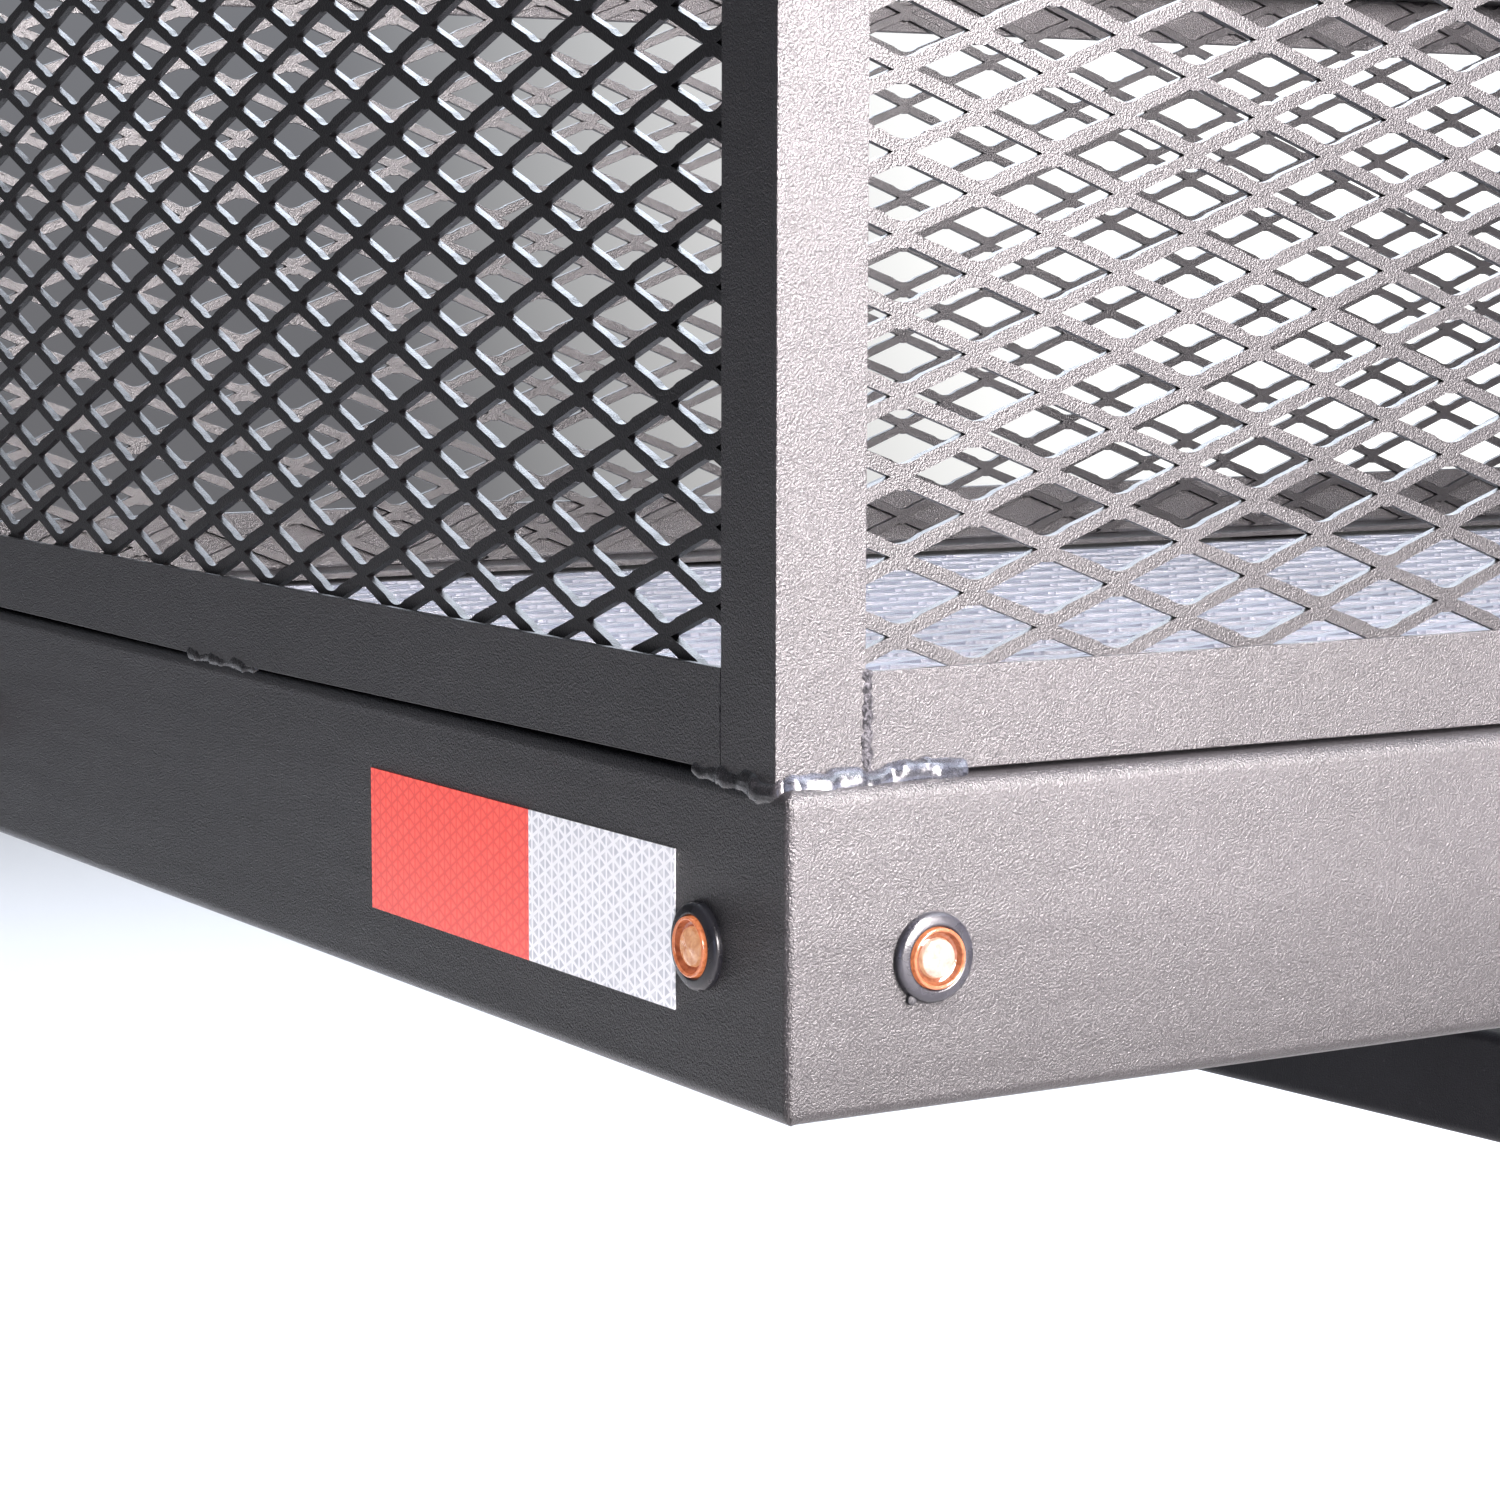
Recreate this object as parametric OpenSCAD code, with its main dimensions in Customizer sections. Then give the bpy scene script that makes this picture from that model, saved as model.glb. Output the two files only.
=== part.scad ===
// Hitch cargo carrier: a welded base of rectangular tube with expanded-metal sides and floor,
// hung on a 2 in receiver shank. Millimetres. X runs across the vehicle, -Y points at the vehicle,
// +Z is up, and the origin is the middle of the hitch pin hole.

/* [Base] */
// Width of the base frame across the vehicle
base_w = 1219.2; // [900:1:1500]
// Depth of the base frame, front face to rear face
base_d = 762; // [600:1:900]
// Height of the base rails
rail_h = 101.6; // [76:0.1:127]
// Width of the base rails
rail_w = 50.8; // [38:0.1:76]
// Wall of the base rails, floor joists and ledgers
wall = 3.05; // [2:0.05:4]
// Radius of the long edges of the tubes
edge_r = 5; // [2:0.5:6]
// Floor joists across the base
joists = 3; // [3]

/* [Side panels] */
// Height of the sides above the base
panel_h = 305; // [200:1:450]
// Leg of the angle iron
leg = 31.75; // [25:0.25:40]
// Thickness of the angle iron
leg_t = 3.2; // [2.5:0.1:5]
// Setback of the panels behind the front and rear faces of the base
inset_y = 9; // [7:0.5:12]
// Setback of the panels behind the side faces of the base
inset_x = 1; // [0.5:0.5:3]
// Slot between the lower panel rails and the base
slot = 1.5; // [0.5:0.5:3]

/* [Expanded metal] */
// Long way of the mesh, bond to bond
lwd = 54.4; // [50:0.1:60]
// Short way of the mesh, bond to bond
swd = 24.08; // [22:0.01:27]
// Length of one opening
open_l = 46.7; // [40:0.1:50]
// Height of one opening
open_h = 17; // [12:0.1:18]
// Thickness of the flattened sheet
mesh_t = 3.05; // [1.5:0.05:4]

/* [Shank] */
// Side of the square shank
shank = 50.8; // [50.8]
// Wall of the shank
shank_wall = 4.76; // [3:0.01:6.35]
// Pin hole to the front face of the base
reach = 254; // [200:1:320]
// Front end of the shank to the pin hole
nose = 70; // [50:1:90]
// Underside of the base to the underside of the shank, at the front face
drop = 131.5; // [110:0.5:150]
// Rise of the basket away from the vehicle, in degrees
tilt = 2; // [0:0.5:4]
// Diameter of the pin holes
pin_hole_d = 16; // [15.9:0.05:17]
// Distance between the working and the spare pin hole
spare_gap = 152.4; // [120:0.1:160]

/* [Hitch pin] */
// Diameter of the hitch pin
pin_d = 15.875; // [15.8:0.005:15.95]
// Wire of the hairpin clip
clip_d = 3.2; // [3:0.1:3.5]

/* [Marker lamps] */
// Diameter of a lens
lens_d = 19.05; // [18:0.05:20]
// Diameter of a grommet flange
flange_d = 28; // [26:0.5:32]
// Lamp axis to the corner of the base
lamp_in = 51.5; // [45:0.5:60]
// Lamp axis below the top of the base
lamp_drop = 53.8; // [45:0.1:60]

/* [Reflective tape] */
// Height of the tape
tape_h = 50.8; // [50.8]
// Top of the tape below the top of the base
tape_drop = 25.5; // [20:0.5:30]
// Corner of the base to the start of the tape
tape_start = 66; // [66:0.5:80]
// Length of the white part
tape_white = 96.5; // [60:0.5:150]
// Length of the red part
tape_red = 120; // [60:0.5:180]

/* [Hidden] */
$fn = 48;

shank_mid_drop = rail_h + drop - shank / 2 / cos(tilt);
base_top = shank_mid_drop - reach * tan(tilt);
panel_x0 = inset_x;
panel_x1 = base_w - inset_x;
panel_y0 = inset_y;
panel_y1 = base_d - inset_y;
front_first_opening = 47.3;
front_row_z = 151.8;
side_first_opening = 80.2;
side_row_z = 148.1;
hole_r = 12.6;
barrel_r = lens_d / 2;
joist_step = base_w / 4;
joist_top = -mesh_t;
plate_t = 6.35;
plate_gap = 0.05;
plate_l = 120;
bolt_d = 12.7;
bolt_gap = 70;
hanger_y = [120, 650];
pin_y = spare_gap;
pin_bend_r = 18;
pin_tail = 48;
clip_out = shank / 2 + 8.5;
steel = "#45454b";
rubber = "#26262a";
plastic = "#2b2b2f";
zinc = "#b9bcc2";
amber = "#e08a4c";
red = "#d8433f";

// Places its children in the frame of the base: x from the left face, y from the front face,
// z from the top face.
module on_base() {
  translate([-base_w / 2, reach, base_top]) children();
}

// Places its children in the frame of the shank: y along the shank from the pin hole.
module on_shank() {
  rotate([-tilt, 0, 0]) children();
}

// Puts a copy of its children at the other side of the base.
module flip_x() {
  translate([base_w, 0, 0]) mirror([1, 0, 0]) children();
}

// Puts a copy of its children at the rear of the base.
module flip_y() {
  translate([0, base_d, 0]) mirror([0, 1, 0]) children();
}

module rounded_box_outline(w, h, r) {
  union() {
    translate([r, 0]) square([w - 2 * r, h]);
    translate([0, r]) square([w, h - 2 * r]);
    for (x = [r, w - r], y = [r, h - r]) translate([x, y]) circle(r);
  }
}

module tube_outline(w, h, t, r) {
  difference() {
    rounded_box_outline(w, h, r);
    translate([t, t]) rounded_box_outline(w - 2 * t, h - 2 * t, max(r - t, 0.5));
  }
}

// A tube that runs along +X, with its top at z = 0 and one side face on y = 0.
module tube_x(len, w, h, t, r) {
  translate([0, 0, -h]) rotate([90, 0, 90]) linear_extrude(len) tube_outline(w, h, t, r);
}

// A tube that runs along +Y, with its top at z = 0 and one side face on x = 0.
module tube_y(len, w, h, t, r) {
  translate([w, 0, 0]) rotate([0, 0, 90]) tube_x(len, w, h, t, r);
}

// ---- base frame ----

// Lamp places on one corner, as seen from the front left: outward axis along +Z.
module side_lamp_place() {
  translate([0, lamp_in, -lamp_drop]) rotate([0, -90, 0]) children();
}

module end_lamp_place() {
  translate([lamp_in, 0, -lamp_drop]) rotate([90, 0, 0]) children();
}

module lamp_hole() {
  translate([0, 0, -wall - 2]) cylinder(h = wall + 4, r = hole_r);
}

module long_rail() {
  difference() {
    intersection() {
      tube_x(base_w, rail_w, rail_h, wall, edge_r);
      translate([0, 0, -rail_h - 1]) linear_extrude(rail_h + 2)
        polygon([[0, 0], [base_w, 0], [base_w - rail_w, rail_w], [rail_w, rail_w]]);
    }
    end_lamp_place() lamp_hole();
    flip_x() end_lamp_place() lamp_hole();
  }
}

module short_rail() {
  difference() {
    intersection() {
      tube_y(base_d, rail_w, rail_h, wall, edge_r);
      translate([0, 0, -rail_h - 1]) linear_extrude(rail_h + 2)
        polygon([[0, 0], [rail_w, rail_w], [rail_w, base_d - rail_w], [0, base_d]]);
    }
    side_lamp_place() lamp_hole();
    flip_y() side_lamp_place() lamp_hole();
  }
}

wire_x = base_w / 2 + 90;
wire_r = 8;

module base_rail_front() {
  color(steel) on_base() difference() {
    long_rail();
    translate([wire_x, rail_w / 2, -rail_h - 1]) cylinder(h = wall + 2, r = wire_r);
  }
}

module base_rail_rear() {
  color(steel) on_base() flip_y() long_rail();
}

module base_rail_left() {
  color(steel) on_base() short_rail();
}

module base_rail_right() {
  color(steel) on_base() flip_x() short_rail();
}

module wire_grommet() {
  color(rubber) on_base() translate([wire_x, rail_w / 2, -rail_h]) rotate_extrude()
    polygon([[5, -2], [10, -2], [10, 0], [wire_r, 0], [wire_r, wall], [10, wall],
             [10, wall + 2], [5, wall + 2]]);
}

// ---- floor ----

module joist(x) {
  color(steel) on_base() translate([x - rail_w / 2, rail_w, joist_top])
    tube_y(base_d - 2 * rail_w, rail_w, rail_w, wall, edge_r);
}

module floor_joist_left() joist(joist_step);
module floor_joist_center() joist(2 * joist_step);
module floor_joist_right() joist(3 * joist_step);

module ledger() {
  translate([rail_w, rail_w, joist_top]) rotate([-90, 0, 0])
    linear_extrude(base_d - 2 * rail_w)
      polygon([[0, 0], [25.4, 0], [25.4, wall], [wall, wall], [wall, 25.4], [0, 25.4]]);
}

module floor_ledger_left() {
  color(steel) on_base() ledger();
}

module floor_ledger_right() {
  color(steel) on_base() flip_x() ledger();
}

module opening() {
  polygon([[-open_l / 2, 0], [0, open_h / 2], [open_l / 2, 0], [0, -open_h / 2]]);
}

// A sheet from (0, 0) to (w, h). One opening of the even rows is centred on (ox, oz), and every
// opening that lies inside the sheet is cut.
module mesh_outline(w, h, ox, oz) {
  margin = 2;
  first = ceil((margin + open_h / 2 - oz) / (swd / 2));
  last = floor((h - margin - open_h / 2 - oz) / (swd / 2));
  difference() {
    square([w, h]);
    for (row = [first:last]) {
      shift = ox + (row % 2 == 0 ? 0 : lwd / 2);
      a = ceil((margin + open_l / 2 - shift) / lwd);
      b = floor((w - margin - open_l / 2 - shift) / lwd);
      for (k = [a:b]) translate([shift + k * lwd, oz + row * swd / 2]) opening();
    }
  }
}

floor_w = base_w / 2 - rail_w;
floor_d = base_d - 2 * rail_w;

module floor_half() {
  translate([rail_w, rail_w, -mesh_t]) linear_extrude(mesh_t)
    mesh_outline(floor_w - 0.2, floor_d, 30, 14);
}

module floor_mesh_left() {
  color(steel) on_base() floor_half();
}

module floor_mesh_right() {
  color(steel) on_base() flip_x() floor_half();
}

// ---- side panels ----

module angle_outline() {
  polygon([[0, 0], [leg, 0], [leg, leg_t], [leg_t, leg_t], [leg_t, leg], [0, leg]]);
}

module post() {
  translate([panel_x0, panel_y0, 0]) linear_extrude(panel_h - leg) angle_outline();
}

module post_front_left() {
  color(steel) on_base() post();
}

module post_front_right() {
  color(steel) on_base() flip_x() post();
}

module post_rear_left() {
  color(steel) on_base() flip_y() post();
}

module post_rear_right() {
  color(steel) on_base() flip_x() flip_y() post();
}

rail_gap = 0.2;

// Angle along +X with its upright leg on y = 0 and its flat leg at the bottom.
module angle_x(len) {
  rotate([90, 0, 90]) linear_extrude(len) angle_outline();
}

module lower_long() {
  x0 = panel_x0 + leg + rail_gap;
  translate([x0, panel_y0, slot]) angle_x(base_w - 2 * x0);
}

module lower_short() {
  y0 = panel_y0 + leg + rail_gap;
  translate([panel_x0, base_d - y0, slot]) rotate([0, 0, -90]) angle_x(base_d - 2 * y0);
}

module lower_rail_front() {
  color(steel) on_base() lower_long();
}

module lower_rail_rear() {
  color(steel) on_base() flip_y() lower_long();
}

module lower_rail_left() {
  color(steel) on_base() lower_short();
}

module lower_rail_right() {
  color(steel) on_base() flip_x() lower_short();
}

// Upper rails: upright leg outside, flat leg on top, mitred at the corners.
module upper_long() {
  len = panel_x1 - panel_x0;
  translate([panel_x0, panel_y0, panel_h]) intersection() {
    mirror([0, 0, 1]) angle_x(len);
    translate([0, 0, -leg - 1]) linear_extrude(leg + 2)
      polygon([[0, 0], [len, 0], [len - leg, leg], [leg, leg]]);
  }
}

module upper_short() {
  len = panel_y1 - panel_y0;
  translate([panel_x0, panel_y0, panel_h]) intersection() {
    translate([0, len, 0]) rotate([0, 0, -90]) mirror([0, 0, 1]) angle_x(len);
    translate([0, 0, -leg - 1]) linear_extrude(leg + 2)
      polygon([[0, 0], [leg, leg], [leg, len - leg], [0, len]]);
  }
}

module upper_rail_front() {
  color(steel) on_base() upper_long();
}

module upper_rail_rear() {
  color(steel) on_base() flip_y() upper_long();
}

module upper_rail_left() {
  color(steel) on_base() upper_short();
}

module upper_rail_right() {
  color(steel) on_base() flip_x() upper_short();
}

mesh_z0 = slot + leg_t + 0.3;
mesh_h = panel_h - leg_t - 0.3 - mesh_z0;
long_mesh_x0 = panel_x0 + leg_t + 0.5;
short_mesh_y0 = panel_y0 + leg_t + mesh_t + 0.5;

module mesh_long() {
  translate([long_mesh_x0, panel_y0 + leg_t + mesh_t, mesh_z0]) rotate([90, 0, 0])
    linear_extrude(mesh_t)
      mesh_outline(base_w - 2 * long_mesh_x0, mesh_h, front_first_opening - long_mesh_x0,
                   front_row_z - mesh_z0);
}

module mesh_short() {
  translate([panel_x0 + leg_t, short_mesh_y0, mesh_z0]) rotate([90, 0, 90])
    linear_extrude(mesh_t)
      mesh_outline(base_d - 2 * short_mesh_y0, mesh_h, side_first_opening - short_mesh_y0,
                   side_row_z - mesh_z0);
}

module mesh_front() {
  color(steel) on_base() mesh_long();
}

module mesh_rear() {
  color(steel) on_base() flip_y() mesh_long();
}

module mesh_left() {
  color(steel) on_base() mesh_short();
}

module mesh_right() {
  color(steel) on_base() flip_x() mesh_short();
}

// ---- welds ----

corner_weld_side = 58;
corner_weld_end = 70;
weld_end_r = 5.5;
weld_side_r = 4.2;

// Everything that a weld bead lies against, at one corner.
module weld_backing() {
  difference() {
    union() {
      translate([0, 0, -rail_h]) linear_extrude(rail_h - edge_r) square([base_w, base_d]);
      translate([edge_r, edge_r, -edge_r - 1]) cube([base_w, base_d, edge_r + 1]);
      translate([edge_r, 0, -edge_r]) rotate([-90, 0, 0]) cylinder(h = base_d, r = edge_r);
      translate([0, edge_r, -edge_r]) rotate([0, 90, 0]) cylinder(h = base_w, r = edge_r);
    }
    corner_trim();
  }
  translate([panel_x0, panel_y0, -1]) cube([base_w, base_d, panel_h]);
}

// The rails are mitred, so the rounded top edges end on the mitre plane.
module corner_trim() {
  translate([0, 0, -edge_r]) difference() {
    translate([-1, -1, 0]) cube([edge_r + 1, edge_r + 1, edge_r + 1]);
    intersection() {
      union() {
        translate([edge_r, 0, 0]) rotate([-90, 0, 0]) cylinder(h = rail_w, r = edge_r);
        translate([edge_r, 0, -1]) cube([rail_w, rail_w, edge_r + 1]);
      }
      union() {
        translate([0, edge_r, 0]) rotate([0, 90, 0]) cylinder(h = rail_w, r = edge_r);
        translate([0, edge_r, -1]) cube([rail_w, rail_w, edge_r + 1]);
      }
    }
  }
}

module corner_weld() {
  difference() {
    union() {
      translate([panel_x0, panel_y0 - 1.5, 1]) rotate([0, 90, 0])
        cylinder(h = corner_weld_end - panel_x0, r = weld_end_r);
      translate([panel_x0 + 1, panel_y0, 0.5]) rotate([-90, 0, 0])
        cylinder(h = corner_weld_side - panel_y0, r = weld_side_r);
      translate([panel_x0 + 0.5, panel_y0 - 1, 1]) sphere(weld_end_r);
    }
    weld_backing();
  }
}

module corner_welds() {
  color(steel) on_base() {
    corner_weld();
    flip_x() corner_weld();
    flip_y() corner_weld();
    flip_x() flip_y() corner_weld();
  }
}

stitch_l = 67;
stitch_at = 420;

module side_stitch(y) {
  difference() {
    translate([panel_x0 + 1, y - stitch_l / 2, 0.5]) rotate([-90, 0, 0])
      cylinder(h = stitch_l, r = 3.6);
    weld_backing();
  }
}

module end_stitch(x) {
  difference() {
    translate([x - stitch_l / 2, panel_y0 - 1.5, 1]) rotate([0, 90, 0])
      cylinder(h = stitch_l, r = 4.2);
    weld_backing();
  }
}

module stitch_welds() {
  color(steel) on_base() {
    side_stitch(stitch_at);
    flip_x() side_stitch(stitch_at);
    for (x = [stitch_at, base_w - stitch_at]) {
      end_stitch(x);
      flip_y() end_stitch(x);
    }
  }
}

// ---- shank and hangers ----

shank_end = (reach + base_d - 8) / cos(tilt);

// Height of the shank's centre line, in the frame of the base, y behind the front face.
function shank_z(y) = -shank_mid_drop - y * tan(tilt);

// A hole across the shank at the shank's own station y.
module cross_hole(y, d) {
  translate([-shank, y, 0]) rotate([0, 90, 0]) cylinder(h = 2 * shank, d = d);
}

bolt_stations = [for (y = hanger_y, s = [-1, 1]) (reach + y) / cos(tilt) + s * bolt_gap / 2];

module shank_tube() {
  color(steel) on_shank() difference() {
    translate([-shank / 2, -nose, shank / 2])
      tube_y(shank_end + nose, shank, shank, shank_wall, edge_r);
    cross_hole(0, pin_hole_d);
    cross_hole(spare_gap, pin_hole_d);
    for (y = bolt_stations) cross_hole(y, bolt_d + 0.8);
  }
}

module shank_end_cap() {
  inner = shank - 2 * shank_wall - 0.1;
  color(plastic) on_shank() translate([0, shank_end, 0]) rotate([-90, 0, 0]) union() {
    translate([-shank / 2, -shank / 2, 0]) linear_extrude(3)
      rounded_box_outline(shank, shank, edge_r);
    translate([-inner / 2, -inner / 2, -14]) linear_extrude(14)
      tube_outline(inner, inner, 2.5, 1);
  }
}

// One plate between the centre joist and the shank, on the right side of both.
module hanger_plate(y) {
  s = (reach + y) / cos(tilt);
  difference() {
    on_base() translate([base_w / 2 + shank / 2 + plate_gap, y - plate_l / 2, 0])
      rotate([90, 0, 90]) linear_extrude(plate_t - plate_gap)
        polygon([[0, joist_top - edge_r], [plate_l, joist_top - edge_r],
                 [plate_l, shank_z(y + plate_l / 2) - shank / 2],
                 [0, shank_z(y - plate_l / 2) - shank / 2]]);
    on_shank() for (k = [-1, 1]) cross_hole(s + k * bolt_gap / 2, bolt_d + 0.8);
  }
}

module hanger_front_right() {
  color(steel) hanger_plate(hanger_y[0]);
}

module hanger_front_left() {
  color(steel) mirror([1, 0, 0]) hanger_plate(hanger_y[0]);
}

module hanger_rear_right() {
  color(steel) hanger_plate(hanger_y[1]);
}

module hanger_rear_left() {
  color(steel) mirror([1, 0, 0]) hanger_plate(hanger_y[1]);
}

grip = shank / 2 + plate_t;
washer_t = 2.5;

module at_bolts() {
  on_shank() for (y = bolt_stations) translate([0, y, 0]) rotate([0, 90, 0]) children();
}

module hanger_bolts() {
  reach_out = grip + washer_t;
  color(zinc) at_bolts() union() {
    translate([0, 0, -reach_out]) cylinder(h = 2 * reach_out + 14, d = bolt_d);
    translate([0, 0, -reach_out - 8]) cylinder(h = 8, d = 21.9, $fn = 6);
  }
}

module hanger_washers() {
  color(zinc) at_bolts() for (z = [-grip - washer_t, grip]) translate([0, 0, z]) difference() {
    cylinder(h = washer_t, d = 27);
    translate([0, 0, -1]) cylinder(h = washer_t + 2, d = bolt_d + 0.8);
  }
}

module hanger_nuts() {
  color(zinc) at_bolts() translate([0, 0, grip + washer_t]) difference() {
    cylinder(h = 11, d = 21.9, $fn = 6);
    translate([0, 0, -1]) cylinder(h = 13, d = bolt_d);
  }
}

// ---- hitch pin and clip, kept in the spare hole ----

pin_tip = shank / 2 + 16;
pin_out = shank / 2 + 3;

// The pin hangs plumb in its hole, whatever the tilt of the shank.
module at_spare_hole() {
  translate([0, pin_y * cos(tilt), -pin_y * sin(tilt)]) children();
}

module hitch_pin() {
  color(zinc) at_spare_hole() difference() {
    union() {
      translate([-pin_out, 0, 0]) rotate([0, 90, 0]) cylinder(h = pin_out + pin_tip - 3, d = pin_d);
      translate([pin_tip - 3, 0, 0]) rotate([0, 90, 0]) cylinder(h = 3, d1 = pin_d, d2 = 10);
      translate([-pin_out, 0, -pin_bend_r]) rotate([90, 0, 0]) rotate_extrude(angle = 90, start = 90)
        translate([pin_bend_r, 0]) circle(d = pin_d);
      translate([-pin_out - pin_bend_r, 0, -pin_bend_r - pin_tail])
        cylinder(h = pin_tail, d = pin_d);
    }
    translate([clip_out, 0, -pin_d]) cylinder(h = 2 * pin_d, d = clip_d + 0.1);
  }
}

// Hairpin clip: a straight leg through the pin, a round eye on top, and a bowed leg outside.
clip_leg = 28;
clip_eye = 7;

module wire_arc(r, from, sweep) {
  rotate([90, 0, 0]) rotate_extrude(angle = sweep, start = from) translate([r, 0]) circle(d = clip_d);
}

module pin_clip() {
  side = pin_d / 2 + clip_d / 2 + 0.4;
  color(zinc) at_spare_hole() translate([clip_out, 0, 0]) rotate([0, 0, 90]) union() {
    translate([0, 0, -clip_leg + 10]) cylinder(h = clip_leg + 4, d = clip_d);
    translate([clip_eye, 0, 14]) wire_arc(clip_eye, 0, 180);
    translate([2 * clip_eye, 0, 7]) cylinder(h = 7, d = clip_d);
    translate([2 * clip_eye - side, 0, 7]) wire_arc(side, -55, 55);
  }
}

// ---- marker lamps ----

module grommet_shape() {
  f = flange_d / 2;
  rotate_extrude() union() {
    difference() {
      union() {
        translate([barrel_r + 0.1, 0]) square([f - 1.6 - barrel_r - 0.1, 3.2]);
        translate([barrel_r + 0.1, 0]) square([f - barrel_r - 0.1, 1.6]);
        translate([f - 1.6, 1.6]) circle(1.6);
      }
    }
    translate([barrel_r + 0.1, -wall]) square([hole_r - barrel_r - 0.1, wall]);
    translate([barrel_r + 0.1, -wall - 2.5]) square([hole_r + 1.2 - barrel_r - 0.1, 2.5]);
  }
}

// Clear cap with a shallow dome and a central boss that spreads the light.
module lens_shape() {
  dome_r = 30;
  difference() {
    intersection() {
      translate([0, 0, -2.5]) cylinder(h = 8, r = barrel_r);
      translate([0, 0, 4.6 - dome_r]) sphere(dome_r, $fn = 96);
    }
    translate([0, 0, -3]) cylinder(h = 5, r = barrel_r - 1.4);
  }
  translate([0, 0, 0.5]) cylinder(h = 2.5, r = 3.2);
}

module lamp_body_shape() {
  difference() {
    translate([0, 0, -20.5]) cylinder(h = 18, r = barrel_r);
    translate([0, 0, -6.6]) cylinder(h = 5, r = barrel_r - 1.4);
  }
}

module led_shape() {
  translate([0, 0, -6.6]) cylinder(h = 1.6, r = barrel_r - 1.6);
  translate([0, 0, -5]) cylinder(h = 1.5, r = 2.5);
  translate([0, 0, -3.5]) sphere(2.4);
}

module lamp_pair() {
  side_lamp_place() children();
  end_lamp_place() children();
}

module at_front_left() on_base() lamp_pair() children();
module at_front_right() on_base() flip_x() lamp_pair() children();
module at_rear_left() on_base() flip_y() lamp_pair() children();
module at_rear_right() on_base() flip_x() flip_y() lamp_pair() children();

module grommet_front_left() color(rubber) at_front_left() grommet_shape();
module grommet_front_right() color(rubber) at_front_right() grommet_shape();
module grommet_rear_left() color(rubber) at_rear_left() grommet_shape();
module grommet_rear_right() color(rubber) at_rear_right() grommet_shape();
module lens_front_left() color(amber) at_front_left() lens_shape();
module lens_front_right() color(amber) at_front_right() lens_shape();
module lens_rear_left() color(red) at_rear_left() lens_shape();
module lens_rear_right() color(red) at_rear_right() lens_shape();
module lamp_body_front_left() color(plastic) at_front_left() lamp_body_shape();
module lamp_body_front_right() color(plastic) at_front_right() lamp_body_shape();
module lamp_body_rear_left() color(plastic) at_rear_left() lamp_body_shape();
module lamp_body_rear_right() color(plastic) at_rear_right() lamp_body_shape();

module lamp_led_boards() {
  color("#e9e3c8") {
    at_front_left() led_shape();
    at_front_right() led_shape();
    at_rear_left() led_shape();
    at_rear_right() led_shape();
  }
}

// ---- reflective tape ----

tape_t = 0.4;

module tape(start, len) {
  translate([-tape_t, start, -tape_drop - tape_h]) cube([tape_t, len, tape_h]);
}

module tape_left_white() color("#e6ebf0") on_base() tape(tape_start, tape_white);
module tape_left_red() color("#f26a62") on_base() tape(tape_start + tape_white, tape_red);
module tape_right_white() color("#e6ebf0") on_base() flip_x() tape(tape_start, tape_white);
module tape_right_red() color("#f26a62") on_base() flip_x()
  tape(tape_start + tape_white, tape_red);

base_rail_front();
base_rail_rear();
base_rail_left();
base_rail_right();
floor_joist_left();
floor_joist_center();
floor_joist_right();
floor_ledger_left();
floor_ledger_right();
floor_mesh_left();
floor_mesh_right();
post_front_left();
post_front_right();
post_rear_left();
post_rear_right();
lower_rail_front();
lower_rail_rear();
lower_rail_left();
lower_rail_right();
upper_rail_front();
upper_rail_rear();
upper_rail_left();
upper_rail_right();
mesh_front();
mesh_rear();
mesh_left();
mesh_right();
corner_welds();
stitch_welds();
shank_tube();
shank_end_cap();
hanger_front_left();
hanger_front_right();
hanger_rear_left();
hanger_rear_right();
hanger_bolts();
hanger_washers();
hanger_nuts();
hitch_pin();
pin_clip();
grommet_front_left();
grommet_front_right();
grommet_rear_left();
grommet_rear_right();
lens_front_left();
lens_front_right();
lens_rear_left();
lens_rear_right();
lamp_body_front_left();
lamp_body_front_right();
lamp_body_rear_left();
lamp_body_rear_right();
lamp_led_boards();
tape_left_white();
tape_left_red();
tape_right_white();
tape_right_red();
wire_grommet();
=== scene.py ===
import math

import bmesh
import bpy
from mathutils import Matrix, Vector, noise


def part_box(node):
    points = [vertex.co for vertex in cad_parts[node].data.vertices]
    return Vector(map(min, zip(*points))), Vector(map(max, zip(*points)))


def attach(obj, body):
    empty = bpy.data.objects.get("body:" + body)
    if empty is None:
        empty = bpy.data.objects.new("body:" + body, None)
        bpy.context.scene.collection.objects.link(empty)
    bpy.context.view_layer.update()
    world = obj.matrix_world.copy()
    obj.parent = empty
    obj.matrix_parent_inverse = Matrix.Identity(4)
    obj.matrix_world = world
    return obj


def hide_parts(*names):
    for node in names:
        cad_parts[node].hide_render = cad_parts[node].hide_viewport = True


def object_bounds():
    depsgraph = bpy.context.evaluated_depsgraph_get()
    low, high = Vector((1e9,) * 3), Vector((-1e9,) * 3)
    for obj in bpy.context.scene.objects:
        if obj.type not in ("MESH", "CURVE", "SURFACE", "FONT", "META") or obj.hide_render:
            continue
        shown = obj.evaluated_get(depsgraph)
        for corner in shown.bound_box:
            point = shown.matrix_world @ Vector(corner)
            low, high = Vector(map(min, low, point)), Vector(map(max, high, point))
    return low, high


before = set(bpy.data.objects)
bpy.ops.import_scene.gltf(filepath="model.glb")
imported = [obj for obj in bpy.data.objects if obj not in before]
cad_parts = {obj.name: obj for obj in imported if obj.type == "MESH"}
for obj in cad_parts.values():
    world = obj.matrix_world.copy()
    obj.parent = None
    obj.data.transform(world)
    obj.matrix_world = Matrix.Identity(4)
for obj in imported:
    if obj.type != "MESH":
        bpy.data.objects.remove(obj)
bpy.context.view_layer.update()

MM = 0.001
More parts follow.
